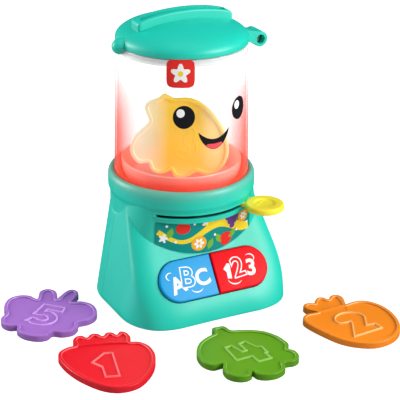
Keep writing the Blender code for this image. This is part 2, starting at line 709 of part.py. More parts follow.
def capsule(inset=0.0, steps=ROUND_STEPS // 2):
    """Outline of the buttons' opening, with round ends."""
    radius = BUTTONS_HALF_HEIGHT + BUTTON_SIDE_GAP - inset
    centre = BUTTONS_HALF_LENGTH - BUTTONS_HALF_HEIGHT
    right = circle(radius, steps, (centre, 0), -math.pi / 2, math.pi / 2)
    left = circle(radius, steps, (-centre, 0), math.pi / 2, 3 * math.pi / 2)
    return right + left


def half_capsule(inset, side):
    """Outline of one button: square at the split, round at the outer end."""
    steps = ROUND_STEPS // 2
    radius = BUTTONS_HALF_HEIGHT - inset
    centre = BUTTONS_HALF_LENGTH - BUTTONS_HALF_HEIGHT
    start = BUTTON_SPLIT_GAP / 2 + inset
    outline = [(start, -radius)] + circle(radius, steps, (centre, 0), -math.pi / 2, math.pi / 2)
    outline.append((start, radius))
    return [(side * x, y) for x, y in outline][::side]


def panel_matrix():
    """A frame on the sloped panel: its Z points out of the panel, its Y up the slope."""
    place = Matrix.Translation((0, -panel_depth(BUTTONS_CENTRE_Z), BUTTONS_CENTRE_Z))
    return place @ Matrix.Rotation(math.pi / 2 - PANEL_SLOPE_ANGLE, 4, "X")


def panel_frame():
    frame = bpy.data.objects.new("panel_frame", None)
    bpy.context.scene.collection.objects.link(frame)
    frame.matrix_world = panel_matrix()
    return frame


def wall_rib(x_range, y_range, z_range):
    low, high = sorted(x_range)
    return block((low, high), y_range, z_range)


def front_bosses():
    """Screw posts on the front shell, each with a web to the side wall."""
    pieces = []
    end = PARTING_Y - GAP / 2
    for side in (-1, 1):
        for x, z in ((UPPER_SCREW_X, UPPER_SCREW_Z), (LOWER_SCREW_X, LOWER_SCREW_Z)):
            pieces.append(rod_along_y(BOSS_RADIUS, end - FRONT_BOSS_LENGTH, end, (side * x, z)))
            web = (side * (x + BOSS_RADIUS / 2), side * FOOT_HALF_WIDTH)
            upright = (z - RIB_THICKNESS / 2, z + RIB_THICKNESS / 2)
            pieces.append(wall_rib(web, (end - FRONT_BOSS_LENGTH, end), upright))
        pieces += base_boss(side, FRONT_BASE_SCREW_X, FRONT_BASE_SCREW_Y)
    return pieces


def base_boss(side, x, y):
    """A post over the base plate, with a web to the side wall."""
    low = BASE_PAD_HEIGHT + GAP
    high = low + BASE_BOSS_HEIGHT
    web = (side * (x + BOSS_RADIUS / 2), side * FOOT_HALF_WIDTH)
    return [
        rod(BOSS_RADIUS, low, high, SMALL_STEPS, (side * x, y)),
        wall_rib(web, (y - RIB_THICKNESS / 2, y + RIB_THICKNESS / 2), (low, high)),
    ]


def rear_bosses():
    """Screw wells, the speaker's seat and the base posts on the rear shell."""
    pieces = []
    start = PARTING_Y + GAP / 2
    for side in (-1, 1):
        for x, z in ((UPPER_SCREW_X, UPPER_SCREW_Z), (LOWER_SCREW_X, LOWER_SCREW_Z)):
            pieces.append(rod_along_y(WELL_RADIUS + WELL_WALL, start, FOOT_BACK_DEPTH, (side * x, z)))
        pieces += base_boss(side, REAR_BASE_SCREW_X, REAR_BASE_SCREW_Y)
    seat = circle(SPEAKER_RADIUS + SPEAKER_SEAT_WIDTH / 2, ROUND_STEPS // 2, (0, SPEAKER_Z))
    pieces.append(extruded_along_y(seat, SPEAKER_SEAT_Y, FOOT_BACK_DEPTH))
    return pieces


def attach_inside(shell, pieces, core):
    """Trims inner pieces to the skin and fuses them to the shell."""
    helper = tool(shell.name + "_bosses", joined(*pieces))
    combine(helper, core, "INTERSECT")
    combine(shell, helper, "UNION")


def base_screw_holes(x, y):
    """Blind pilot holes up the two base posts of one shell."""
    top = BASE_PAD_HEIGHT + GAP + BASE_BOSS_HEIGHT - WALL / 2
    return [
        rod(SCREW_RADIUS + GAP, BASE_PAD_HEIGHT - OVERRUN, top, SMALL_STEPS, (side * x, y)) for side in (-1, 1)
    ]


def housing_screw_places():
    return [
        (side * x, z)
        for x, z in ((UPPER_SCREW_X, UPPER_SCREW_Z), (LOWER_SCREW_X, LOWER_SCREW_Z))
        for side in (-1, 1)
    ]


def front_housing(colour, core):
    shell = finish("front_housing", housing_shell(), colour)
    parting = tool("front_parting", half_space(front=True))
    combine(shell, parting, "DIFFERENCE")
    attach_inside(shell, front_bosses(), core)
    opening = moved(extruded(capsule(), -WALL - 2 * OVERRUN, OVERRUN), panel_matrix())
    depth = PARTING_Y - FRONT_BOSS_LENGTH + WALL
    holes = [
        rod_along_y(SCREW_RADIUS + GAP, depth, PARTING_Y + OVERRUN, place) for place in housing_screw_places()
    ]
    holes += base_screw_holes(FRONT_BASE_SCREW_X, FRONT_BASE_SCREW_Y)
    return cut(shell, slot_sector(), opening, *holes)


def grille_places():
    """Centres of the speaker's sound holes, in rings."""
    places = [(0.0, SPEAKER_Z)]
    for ring in range(1, GRILLE_RINGS + 1):
        count = 6 * ring
        places += circle(ring * GRILLE_PITCH, count, (0, SPEAKER_Z))
    return places


def rear_housing(colour, core):
    shell = finish("rear_housing", housing_shell(), colour)
    parting = tool("rear_parting", half_space(front=False))
    combine(shell, parting, "DIFFERENCE")
    attach_inside(shell, rear_bosses(), core)
    far = FOOT_BACK_DEPTH + OVERRUN
    holes = []
    for place in housing_screw_places():
        holes.append(rod_along_y(WELL_RADIUS, SCREW_SEAT_Y, far, place))
        holes.append(rod_along_y(SCREW_RADIUS + GAP, 0, SCREW_SEAT_Y + OVERRUN, place))
    holes += base_screw_holes(REAR_BASE_SCREW_X, REAR_BASE_SCREW_Y)
    seat_bore = circle(SPEAKER_RADIUS - SPEAKER_SEAT_WIDTH / 2, ROUND_STEPS // 2, (0, SPEAKER_Z))
    wall_inside = math.sqrt(max(1 - (SPEAKER_RADIUS / WAIST_HALF_WIDTH) ** 2, 0)) * WAIST_BACK_DEPTH - WALL
    holes.append(extruded_along_y(seat_bore, PARTING_Y, wall_inside))
    holes += [rod_along_y(GRILLE_HOLE_RADIUS, SPEAKER_SEAT_Y, far, place, 8) for place in grille_places()]
    half_width = (KNOB_WIDTH + KNOB_TRAVEL) / 2 + KNOB_CLEARANCE
    half_height = KNOB_HEIGHT / 2 + KNOB_CLEARANCE
    window = block((-half_width, half_width), (BOARD_BACK_Y, far), (KNOB_Z - half_height, KNOB_Z + half_height))
    return cut(shell, window, *holes)


def base_outline():
    """The floor plate's edge, one gap inside the shell's wall."""
    outline = []
    for index in range(FINE_STEPS):
        angle = math.tau * index / FINE_STEPS
        angle = angle - math.tau if angle > math.pi else angle
        (upper_radius, upper_z), (foot_radius, foot_z) = inner_column(angle)[-2:]
        radius = blend_between(foot_radius, upper_radius, BASE_THICKNESS / upper_z) - GAP
        outline.append((radius * math.sin(angle), -radius * math.cos(angle)))
    return outline


def base_screw_places():
    return [
        (side * x, y)
        for x, y in ((FRONT_BASE_SCREW_X, FRONT_BASE_SCREW_Y), (REAR_BASE_SCREW_X, REAR_BASE_SCREW_Y))
        for side in (-1, 1)
    ]


def board_rib_outline():
    """Side view (y, z) of the fins that back up the button board."""
    normal = Vector((0, -math.cos(PANEL_SLOPE_ANGLE), math.sin(PANEL_SLOPE_ANGLE)))
    up_slope = Vector((0, math.sin(PANEL_SLOPE_ANGLE), math.cos(PANEL_SLOPE_ANGLE)))
    centre = Vector((0, -panel_depth(BUTTONS_CENTRE_Z), BUTTONS_CENTRE_Z))
    centre -= normal * (BUTTON_BOARD_DEPTH + GAP)
    low = centre - up_slope * BUTTON_BOARD_HALF_HEIGHT
    high = centre + up_slope * BUTTON_BOARD_HALF_HEIGHT
    base = BASE_THICKNESS / 2
    return [
        (low.y, base), (low.y, low.z), (high.y, high.z),
        (high.y + BOARD_RIB_FOOT, high.z), (high.y + BOARD_RIB_FOOT, base),
    ]


def base_plate(colour):
    plate = finish("base_plate", extruded(base_outline(), 0, BASE_THICKNESS), colour)
    half_x = DOOR_HALF_X + GAP + BOX_WALL
    half_y = DOOR_HALF_Y + GAP + BOX_WALL
    pieces = [block((-half_x, half_x), (-half_y, half_y), (0, BOX_TOP_Z))]
    for side in (-1, 1):
        low = side * BOARD_RIB_X - BOARD_RIB_THICKNESS / 2
        pieces.append(extruded_along_x(board_rib_outline(), low, low + BOARD_RIB_THICKNESS))
    for place in board_post_places():
        pieces.append(rod(POST_RADIUS, BASE_THICKNESS / 2, BOARD_Z - GAP, SMALL_STEPS, place))
    recess = rounded_rectangle(DOOR_HALF_X + GAP, DOOR_HALF_Y + GAP, DOOR_CORNER + GAP)
    pilot_top = DOOR_THICKNESS + DOOR_SCREW_LENGTH
    holes = [
        extruded(recess, -OVERRUN, DOOR_THICKNESS + GAP),
        block((-CAVITY_HALF_X, CAVITY_HALF_X), (-CAVITY_HALF_Y, CAVITY_HALF_Y), (0, CAVITY_TOP_Z)),
        rod(SCREW_RADIUS + GAP, 0, pilot_top, SMALL_STEPS, (0, DOOR_SCREW_Y)),
    ]
    for place in base_screw_places():
        pieces.append(rod(WELL_RADIUS + BOX_WALL, 0, BASE_PAD_HEIGHT, SMALL_STEPS, place))
        holes.append(rod(WELL_RADIUS, -OVERRUN, SCREW_HEAD_HEIGHT + 2 * GAP, SMALL_STEPS, place))
        holes.append(rod(SCREW_RADIUS + GAP, 0, BASE_PAD_HEIGHT + OVERRUN, SMALL_STEPS, place))
    add(plate, *pieces)
    return cut(plate, *holes)


def rounded_rectangle(half_x, half_y, corner, steps=4):
    outline = []
    for quarter, (side_x, side_y) in enumerate(((1, 1), (-1, 1), (-1, -1), (1, -1))):
        centre = (side_x * (half_x - corner), side_y * (half_y - corner))
        first = quarter * math.pi / 2
        outline += circle(corner, steps, centre, first, first + math.pi / 2)
    return outline


def battery_door(colour):
    outline = rounded_rectangle(DOOR_HALF_X, DOOR_HALF_Y, DOOR_CORNER)
    door = finish("battery_door", extruded(outline, 0, DOOR_THICKNESS), colour)
    head = DOOR_SCREW_HEAD_HEIGHT + 2 * GAP
    return cut(
        door, rod(WELL_RADIUS, -OVERRUN, head, SMALL_STEPS, (0, DOOR_SCREW_Y)),
        rod(SCREW_RADIUS + GAP, 0, DOOR_THICKNESS + OVERRUN, SMALL_STEPS, (0, DOOR_SCREW_Y)),
    )


def screw(name, head_height, length, matrix, steel):
    """A pan-head screw that points along +Z, with its head's outer face at zero."""
    profile = [
        (0, 0), (SCREW_HEAD_RADIUS * 0.8, 0), (SCREW_HEAD_RADIUS, head_height * 0.4),
        (SCREW_HEAD_RADIUS, head_height), (SCREW_RADIUS, head_height),
        (SCREW_RADIUS, length - SCREW_RADIUS), (0, length),
    ]
    return finish(name, moved(revolved(profile, 8), matrix), steel)


def all_screws(steel):
    seat = SCREW_SEAT_Y + GAP + SCREW_HEAD_HEIGHT
    forward = Matrix.Rotation(math.pi / 2, 4, "X")
    number = 0
    for side in (-1, 1):
        for x, z in ((UPPER_SCREW_X, UPPER_SCREW_Z), (LOWER_SCREW_X, LOWER_SCREW_Z)):
            number += 1
            place = Matrix.Translation((side * x, seat, z)) @ forward
            screw(f"housing_screw_{number}", SCREW_HEAD_HEIGHT, SCREW_LENGTH, place, steel)
    for index, (x, y) in enumerate(base_screw_places()):
        place = Matrix.Translation((x, y, GAP))
        screw(f"base_screw_{index + 1}", SCREW_HEAD_HEIGHT, SCREW_HEAD_HEIGHT + BASE_SCREW_LENGTH, place, steel)
    place = Matrix.Translation((0, DOOR_SCREW_Y, GAP))
    screw("battery_door_screw", DOOR_SCREW_HEAD_HEIGHT, DOOR_SCREW_LENGTH, place, steel)


def battery_cell(number, colour):
    """One cell lying along Y; neighbours point opposite ways."""
    facing = 1 if number % 2 else -1
    half = (CELL_LENGTH + CELL_CAP_LENGTH) / 2
    profile = [
        (0, -half), (CELL_RADIUS, -half), (CELL_RADIUS, half - CELL_CAP_LENGTH),
        (CELL_CAP_RADIUS, half - CELL_CAP_LENGTH), (CELL_CAP_RADIUS, half), (0, half),
    ]
    x = (number - (CELL_COUNT - 1) / 2) * CELL_PITCH
    place = Matrix.Translation((x, 0, CELL_Z)) @ Matrix.Rotation(-facing * math.pi / 2, 4, "X")
    return finish(f"battery_cell_{number + 1}", moved(revolved(profile, SMALL_STEPS), place), colour)


def battery_contact(name, side, metal):
    """A sprung strip across the ends of the cells."""
    half_x = CAVITY_HALF_X * CONTACT_SHARE
    low = CELL_Z - CELL_RADIUS * CONTACT_SHARE
    high = CELL_Z + CELL_RADIUS * CONTACT_SHARE
    inner = side * (CAVITY_HALF_Y - GAP - CONTACT_THICKNESS)
    outer = side * (CAVITY_HALF_Y - GAP)
    return finish(name, block((-half_x, half_x), sorted((inner, outer)), (low, high)), metal)


def board_post_places():
    x = BOARD_HALF_WIDTH - POST_INSET
    front = BOARD_FRONT_Y + POST_INSET
    back = BOARD_BACK_Y - POST_INSET
    return [(-x, front), (x, front), (-x, back), (x, back)]


def circuit_board(green, black):
    board = block(
        (-BOARD_HALF_WIDTH, BOARD_HALF_WIDTH), (BOARD_FRONT_Y, BOARD_BACK_Y),
        (BOARD_Z, BOARD_Z + BOARD_THICKNESS),
    )
    finish("circuit_board", board, green)
    half = SWITCH_BODY_WIDTH / 2
    back = BOARD_BACK_Y - GAP
    body = block((-half, half), (back - SWITCH_BODY_DEPTH, back), (SWITCH_Z, SWITCH_Z + SWITCH_BODY_HEIGHT))
    finish("power_switch_body", body, black)


def power_switch_knob(colour):
    """The slider: a flange inside the wall and a grip that stands out of the window."""
    wall_back = blend_between(FOOT_BACK_DEPTH, WAIST_BACK_DEPTH, KNOB_Z / WAIST_Z)
    flange_back = wall_back - WALL - KNOB_FLANGE_INSET
    half = KNOB_WIDTH / 2
    z_range = (KNOB_Z - KNOB_HEIGHT / 2, KNOB_Z + KNOB_HEIGHT / 2)
    stem = block((-half, half), (BOARD_BACK_Y, wall_back + KNOB_RISE), z_range)
    knob = finish("power_switch_knob", stem, colour)
    half = KNOB_FLANGE_WIDTH / 2
    z_range = (KNOB_Z - KNOB_FLANGE_HEIGHT / 2, KNOB_Z + KNOB_FLANGE_HEIGHT / 2)
    flange = block((-half, half), (flange_back - KNOB_FLANGE_THICKNESS, flange_back), z_range)
    return add(knob, flange)


def speaker(colour):
    """A small loudspeaker facing the grille in the rear wall."""
    front = -GAP
    magnet = SPEAKER_DEPTH - SPEAKER_MAGNET_DEPTH
    profile = [
        (0, front - SPEAKER_FLANGE * 2), (SPEAKER_MAGNET_RADIUS / 2, front - SPEAKER_FLANGE * 2.4),
        (SPEAKER_RADIUS * 0.82, front - SPEAKER_FLANGE * 0.4), (SPEAKER_RADIUS * 0.88, front),
        (SPEAKER_RADIUS, front), (SPEAKER_RADIUS, front - SPEAKER_FLANGE),
        (SPEAKER_RADIUS * 0.9, front - SPEAKER_FLANGE), (SPEAKER_MAGNET_RADIUS * 1.1, front - magnet),
        (SPEAKER_MAGNET_RADIUS, front - magnet), (SPEAKER_MAGNET_RADIUS, front - SPEAKER_DEPTH),
        (0, front - SPEAKER_DEPTH),
    ]
    place = Matrix.Translation((0, SPEAKER_SEAT_Y, SPEAKER_Z)) @ Matrix.Rotation(-math.pi / 2, 4, "X")
    return finish("speaker", moved(revolved(profile, ROUND_STEPS // 2), place), colour)


def push_button(name, side, colour, frame):
    """One half of the capsule: a rounded cap, a flange under the panel and a plunger."""
    under = -WALL - GAP
    levels = (
        (BUTTON_RISE, BUTTON_ROUND), (BUTTON_RISE - BUTTON_ROUND * 0.3, BUTTON_ROUND * 0.3),
        (BUTTON_RISE - BUTTON_ROUND, 0.0), (under - BUTTON_FLANGE_THICKNESS, 0.0),
    )
    rings = [[(x, y, z) for x, y in half_capsule(inset, side)] for z, inset in levels]
    button = finish(name, lofted(rings), colour, frame)
    reach = BUTTONS_HALF_HEIGHT + BUTTON_FLANGE_REACH
    x_range = sorted((side * BUTTON_FLANGE_START, side * BUTTON_FLANGE_END))
    flange_low = under - BUTTON_FLANGE_THICKNESS
    upper_flange = block(x_range, (0, reach), (flange_low, under))
    lower_flange = block(x_range, (-reach, 0), (flange_low, under - BUTTON_FLANGE_STEP))
    low = under - BUTTON_FLANGE_THICKNESS - PLUNGER_LENGTH
    high = under - BUTTON_FLANGE_THICKNESS / 2
    plunger = rod(PLUNGER_RADIUS, low, high, SMALL_STEPS, (side * BUTTON_PLACE_X, 0))
    return add(button, upper_flange, lower_flange, plunger)


def button_pad(colour, frame):
    """A rubber sheet with a dome under each button."""
    low = -PAD_DEPTH
    outline = rounded_rectangle(PAD_HALF_LENGTH, PAD_HALF_HEIGHT, PLUNGER_RADIUS)
    pad = finish("button_pad", extruded(outline, low, low + PAD_THICKNESS), colour, frame)
    profile = [
        (0, low + PAD_THICKNESS / 2), (PAD_DOME_RADIUS, low + PAD_THICKNESS / 2),
        (PAD_DOME_RADIUS, low + PAD_THICKNESS), (PLUNGER_RADIUS, -PAD_TOP_DEPTH), (0, -PAD_TOP_DEPTH),
    ]
    places = [Matrix.Translation((side * BUTTON_PLACE_X, 0, 0)) for side in (-1, 1)]
    return add(pad, *(moved(revolved(profile, SMALL_STEPS), place) for place in places))


def button_board(colour, frame):
    high = -PAD_DEPTH - GAP
    length = (-BUTTON_BOARD_HALF_LENGTH, BUTTON_BOARD_HALF_LENGTH)
    height = (-BUTTON_BOARD_HALF_HEIGHT, BUTTON_BOARD_HALF_HEIGHT)
    return finish("button_board", block(length, height, (high - BOARD_THICKNESS, high)), colour, frame)


def front_label(colour):
    """A thin printed panel that follows the apron, from the lip down to the crease."""
    steps = ROUND_STEPS // 2
    spread = math.asin(LABEL_HALF_WIDTH / APRON_RADIUS)
    back = APRON_RADIUS + GAP
    front = back + LABEL_THICKNESS
    centre_y = APRON_RADIUS - APRON_FRONT
    columns = []
    for index in range(steps + 1):
        turn = blend_between(-spread, spread, index / steps)
        places = [(radius * math.sin(turn), centre_y - radius * math.cos(turn)) for radius in (front, back)]
        foot = PANEL_MARK_Z + (PANEL_FRONT + places[0][1]) / SLOPE + LABEL_MARGIN
        top = LIP_Z - GAP
        outer, inner = places
        columns.append([(*outer, foot), (*inner, foot), (*inner, top), (*outer, top)])
    return finish("front_label", lofted(columns), colour)


def tooth_points(pitch_radius, centre, inward):
    """Polar points (radius, angle) of one tooth with straight flanks."""
    half_pitch_width = math.pi * GEAR_MODULE / 4 - TOOTH_BACKLASH / 2
    tip = pitch_radius - inward * GEAR_MODULE * ADDENDUM_SHARE
    root = pitch_radius + inward * GEAR_MODULE * DEDENDUM_SHARE
    tip_half = half_pitch_width - GEAR_MODULE * ADDENDUM_SHARE * math.tan(PRESSURE_ANGLE)
    root_half = half_pitch_width + GEAR_MODULE * DEDENDUM_SHARE * math.tan(PRESSURE_ANGLE)
    return [
        (root, centre - root_half / root), (tip, centre - tip_half / tip),
        (tip, centre + tip_half / tip), (root, centre + root_half / root),
    ]


def gear_outline(teeth, first_tooth_angle):
    pitch_radius = GEAR_MODULE * teeth / 2
    outline = []
    for tooth in range(teeth):
        centre = first_tooth_angle + math.tau * tooth / teeth
        outline += [
            (radius * math.cos(angle), radius * math.sin(angle))
            for radius, angle in tooth_points(pitch_radius, centre, -1)
        ]
    return outline


def ring_bore_outline():
    """The lever ring's bore: inward teeth over the sector that the idler uses, and a plain arc."""
    pitch_radius = GEAR_MODULE * RING_TEETH / 2
    root = pitch_radius + GEAR_MODULE * DEDENDUM_SHARE
    pitch_angle = math.tau / RING_TEETH
    outline = []
    for tooth in range(RING_FIRST_TOOTH, RING_LAST_TOOTH + 1):
        centre = math.pi / 2 + tooth * pitch_angle
        outline += [
            (radius * math.cos(angle), radius * math.sin(angle))
            for radius, angle in tooth_points(pitch_radius, centre, 1)
        ]
    first = math.pi / 2 + (RING_LAST_TOOTH + 1) * pitch_angle
    last = math.pi / 2 + (RING_FIRST_TOOTH - 1) * pitch_angle + math.tau
    return outline + circle(root, ROUND_STEPS // 2, (0, 0), first, last)


def paddle_profile():
    high = SLOT_HIGH_Z + LEVER_PADDLE_RISE - LEVER_SLOT_CLEARANCE
    low = high - LEVER_PADDLE_THICKNESS
    edge = LEVER_PADDLE_THICKNESS / 4
    return [
        (0, high - LEVER_DIMPLE_DEPTH), (LEVER_DIMPLE_RADIUS * 0.6, high - LEVER_DIMPLE_DEPTH * 0.8),
        (LEVER_DIMPLE_RADIUS * 0.85, high - LEVER_DIMPLE_DEPTH * 0.4), (LEVER_DIMPLE_RADIUS, high),
        (LEVER_PADDLE_RADIUS - edge, high), (LEVER_PADDLE_RADIUS - edge * 0.3, high - edge * 0.3),
        (LEVER_PADDLE_RADIUS, high - edge), (LEVER_PADDLE_RADIUS, low + edge),
        (LEVER_PADDLE_RADIUS - edge * 0.3, low + edge * 0.3), (LEVER_PADDLE_RADIUS - edge, low), (0, low),
    ]


def lever(colour):
    """A ring inside the drum with a neck through the slot and a round paddle."""
    made = finish("lever", rod(LEVER_RING_RADIUS, LEVER_LOW_Z, LEVER_HIGH_Z, ROUND_STEPS), colour)
    turn = Matrix.Rotation(LEVER_REST_ANGLE - math.pi / 2, 4, "Z")
    half = LEVER_NECK_WIDTH / 2
    neck = block((LEVER_RING_RADIUS - half, LEVER_PADDLE_REACH), (-half, half), (LEVER_LOW_Z, LEVER_HIGH_Z))
    paddle = moved(revolved(paddle_profile(), HIDDEN_STEPS + 4), Matrix.Translation((LEVER_PADDLE_REACH, 0, 0)))
    add(made, moved(neck, turn), moved(paddle, turn))
    return cut(made, extruded(ring_bore_outline(), LEVER_LOW_Z - OVERRUN, LEVER_HIGH_Z + OVERRUN))


def idler_gear(colour):
    first = -math.pi / 2 + math.pi / IDLER_TEETH
    gear = finish("idler_gear", extruded(gear_outline(IDLER_TEETH, first), LEVER_LOW_Z, LEVER_HIGH_Z), colour)
    cut(gear, rod(AXLE_RADIUS + GAP, LEVER_LOW_Z - OVERRUN, LEVER_HIGH_Z + OVERRUN))
    for item in (gear, bpy.data.objects["idler_gear_cut"]):
        item.location = (0, IDLER_REACH, 0)
    return gear


def sun_gear(colour):
    gear = finish("sun_gear", extruded(gear_outline(SUN_TEETH, math.pi / 2), LEVER_LOW_Z, LEVER_HIGH_Z), colour)
    return cut(gear, rod(SHAFT_RADIUS + GAP, LEVER_LOW_Z - OVERRUN, LEVER_HIGH_Z + OVERRUN))


def lower_deck(colour):
    """The floor of the gear drum: axle, spacers and a rim that guides the lever's ring."""
    profile = [
        (SHAFT_RADIUS + GAP, DECK_LOW_Z), (DECK_RADIUS, DECK_LOW_Z), (DECK_RADIUS, DECK_HIGH_Z),
        (SHAFT_RADIUS + GAP, DECK_HIGH_Z),
    ]
    deck = finish("lower_deck", revolved(profile, HIDDEN_STEPS, closed=True), colour)
    high = UPPER_DECK_Z - GAP
    low = blend_between(DECK_LOW_Z, DECK_HIGH_Z, 0.5)
    pieces = [rod(AXLE_RADIUS, low, high, SMALL_STEPS, (0, IDLER_REACH))]
    for angle in (0.0, math.pi, -math.pi / 2):
        place = (SPACER_REACH * math.cos(angle), SPACER_REACH * math.sin(angle))
        pieces.append(rod(SPACER_RADIUS, low, high, SMALL_STEPS, place))
    steps = ROUND_STEPS // 2
    outside = circle(DECK_RADIUS - GAP, steps, (0, 0), 0.0, math.pi)
    inside = circle(DECK_RADIUS - GAP - GUIDE_RIM_WIDTH, steps, (0, 0), 0.0, math.pi)
    pieces.append(extruded(outside + inside[::-1], low, DECK_HIGH_Z + GUIDE_RIM_HEIGHT))
    return add(deck, *pieces)


def upper_deck(colour):
    """The roof of the gear drum: it carries the turntable's bearing and the jar's foot."""
    rim = DECK_RADIUS - DECK_RIM_WIDTH
    profile = [
        (SHAFT_RADIUS + 2 * GAP, UPPER_DECK_Z), (DECK_RADIUS, UPPER_DECK_Z), (DECK_RADIUS, JAR_SEAT_Z),
        (rim, JAR_SEAT_Z), (rim, UPPER_DECK_TOP_Z), (BEARING_RADIUS, UPPER_DECK_TOP_Z),
        (BEARING_RADIUS, BEARING_TOP_Z), (SHAFT_RADIUS + 2 * GAP, BEARING_TOP_Z),
    ]
    return finish("upper_deck", revolved(profile, HIDDEN_STEPS, closed=True), colour)


def turntable(colour):
    """A translucent dish on a shaft that reaches down through both decks."""
    floor_under = DISH_FLOOR_Z - DISH_WALL
    hub_low = BEARING_TOP_Z + GAP
    wall_step = DISH_WALL * 1.5
    middle_z = blend_between(DISH_FLOOR_Z, DISH_RIM_Z, 0.45)
    middle_radius = blend_between(DISH_FLOOR_RADIUS, DISH_RIM_RADIUS, 0.7)
    profile = [
        (0, DECK_LOW_Z + GAP), (SHAFT_RADIUS, DECK_LOW_Z + GAP), (SHAFT_RADIUS, hub_low),
        (DISH_HUB_RADIUS, hub_low), (DISH_HUB_RADIUS, floor_under), (DISH_FLOOR_RADIUS, floor_under),
        (DISH_FLOOR_RADIUS + wall_step, DISH_FLOOR_Z), (middle_radius, middle_z), (DISH_RIM_RADIUS, DISH_RIM_Z),
        (DISH_RIM_RADIUS - DISH_WALL, DISH_RIM_Z), (middle_radius - DISH_WALL, middle_z),
        (DISH_FLOOR_RADIUS, DISH_FLOOR_Z + wall_step), (DISH_FLOOR_RADIUS - wall_step, DISH_FLOOR_Z),
        (0, DISH_FLOOR_Z),
    ]
    return finish("turntable", revolved(profile, ROUND_STEPS), colour)


def light_board(colour):
    low = UPPER_DECK_TOP_Z + GAP
    profile = [
        (LIGHT_BOARD_BORE, low), (LIGHT_BOARD_RADIUS, low), (LIGHT_BOARD_RADIUS, low + BOARD_THICKNESS),
        (LIGHT_BOARD_BORE, low + BOARD_THICKNESS),
    ]
    return finish("light_board", revolved(profile, HIDDEN_STEPS, closed=True), colour)


def leds(colour):
    low = UPPER_DECK_TOP_Z + 2 * GAP + BOARD_THICKNESS
    profile = [
        (0, low), (LED_RADIUS, low), (LED_RADIUS, low + LED_HEIGHT * 0.6),
        (LED_RADIUS * 0.7, low + LED_HEIGHT * 0.9), (0, low + LED_HEIGHT),
    ]
    first = math.pi / LED_COUNT
    for index, (x, y) in enumerate(circle(LED_CIRCLE_RADIUS, LED_COUNT, (0, 0), first, first + math.tau)):
        place = Matrix.Translation((x, y, 0))
        finish(f"led_{index + 1}", moved(revolved(profile, SMALL_STEPS), place), colour)


def jar(colour):
    """The clear tube: a flange held in the collar's groove and a slight taper to the mouth."""
    flange_top = JAR_FOOT_Z + JAR_FLANGE_THICKNESS
    profile = [
        (JAR_FOOT_RADIUS - JAR_WALL, JAR_FOOT_Z), (FLANGE_RADIUS, JAR_FOOT_Z), (FLANGE_RADIUS, flange_top),
        (JAR_FOOT_RADIUS, flange_top), (JAR_FOOT_RADIUS, COLLAR_TOP_Z), (JAR_MOUTH_RADIUS, JAR_TOP_Z),
        (JAR_MOUTH_RADIUS - JAR_WALL, JAR_TOP_Z), (JAR_FOOT_RADIUS - JAR_WALL, COLLAR_TOP_Z),
    ]
    return finish("jar", revolved(profile, ROUND_STEPS, closed=True), colour)


def hinge_bracket(colour):
    """An ear beside the jar's mouth that holds the lid's hinge pin."""
    knuckle_start = LID_BARREL_START_Y + LID_BARREL_LENGTH + GAP
    high = JAR_TOP_Z - GAP - LID_EDGE_ROUND
    y_range = (knuckle_start, knuckle_start + BRACKET_WIDTH)
    outside = JAR_MOUTH_RADIUS + GAP + BRACKET_THICKNESS
    plate = block((JAR_MOUTH_RADIUS - JAR_WALL, outside), y_range, (high - BRACKET_HEIGHT, high))
    bracket = finish("hinge_bracket", plate, colour)
    arm = block(
        (JAR_MOUTH_RADIUS, HINGE_X), (knuckle_start, knuckle_start + KNUCKLE_LENGTH),
        (HINGE_Z - BARREL_RADIUS * 0.7, HINGE_Z + BARREL_RADIUS * 0.7),
    )
    knuckle = rod_along_y(
        BARREL_RADIUS, knuckle_start, knuckle_start + KNUCKLE_LENGTH, (HINGE_X, HINGE_Z), ROUND_STEPS // 2
    )
    add(bracket, arm, knuckle)
    slope = (JAR_FOOT_RADIUS - JAR_MOUTH_RADIUS) / (JAR_TOP_Z - COLLAR_TOP_Z)
    low_z = high - BRACKET_HEIGHT - OVERRUN
    low_radius = JAR_MOUTH_RADIUS + slope * (JAR_TOP_Z - low_z) + GAP
    seat = [
        (0, low_z), (low_radius, low_z), (JAR_MOUTH_RADIUS + GAP, JAR_TOP_Z), (0, JAR_TOP_Z),
    ]
    bore = rod_along_y(
        BARREL_BORE_RADIUS, knuckle_start - OVERRUN, knuckle_start + KNUCKLE_LENGTH + OVERRUN,
        (HINGE_X, HINGE_Z), ROUND_STEPS // 2,
    )
    return cut(bracket, revolved(seat, FINE_STEPS), bore)


def hinge_pin(steel):
    start = LID_BARREL_START_Y + PIN_INSET
    end = LID_BARREL_START_Y + LID_BARREL_LENGTH + GAP + KNUCKLE_LENGTH
    pin = rod_along_y(BARREL_BORE_RADIUS - GAP, start, end, (HINGE_X, HINGE_Z), ROUND_STEPS // 2)
    return finish("hinge_pin", pin, steel)


def dome_height(x, y=0.0):
    share = min(math.hypot(x, y) / LID_RADIUS, 1)
    return DOME_Z + LID_DOME_HEIGHT * math.sqrt(1 - share * share)


def lid_profile():
    """Dome outside, edge, plug inside the jar, dome inside."""
    steps = 8
    outside = []
    for index in range(steps + 1):
        turn = math.pi / 2 * (1 - index / steps)
        outside.append((LID_RADIUS * math.cos(turn), DOME_Z + LID_DOME_HEIGHT * math.sin(turn)))
    plug_bore = PLUG_RADIUS - PLUG_WALL
    inner_reach = LID_RADIUS - LID_WALL
    inner_rise = LID_DOME_HEIGHT - LID_WALL
    start = math.acos(plug_bore / inner_reach)
    inside = []
    for index in range(steps - 3):
        turn = blend_between(start, math.pi / 2, index / (steps - 4))
        inside.append((inner_reach * math.cos(turn), DOME_Z + inner_rise * math.sin(turn)))
    edge = [
        (LID_RADIUS, LID_Z + LID_EDGE_ROUND), (LID_RADIUS - LID_EDGE_ROUND, LID_Z), (PLUG_RADIUS, LID_Z),
        (PLUG_RADIUS, LID_Z - PLUG_DEPTH), (plug_bore, LID_Z - PLUG_DEPTH),
    ]
    return outside + edge + inside


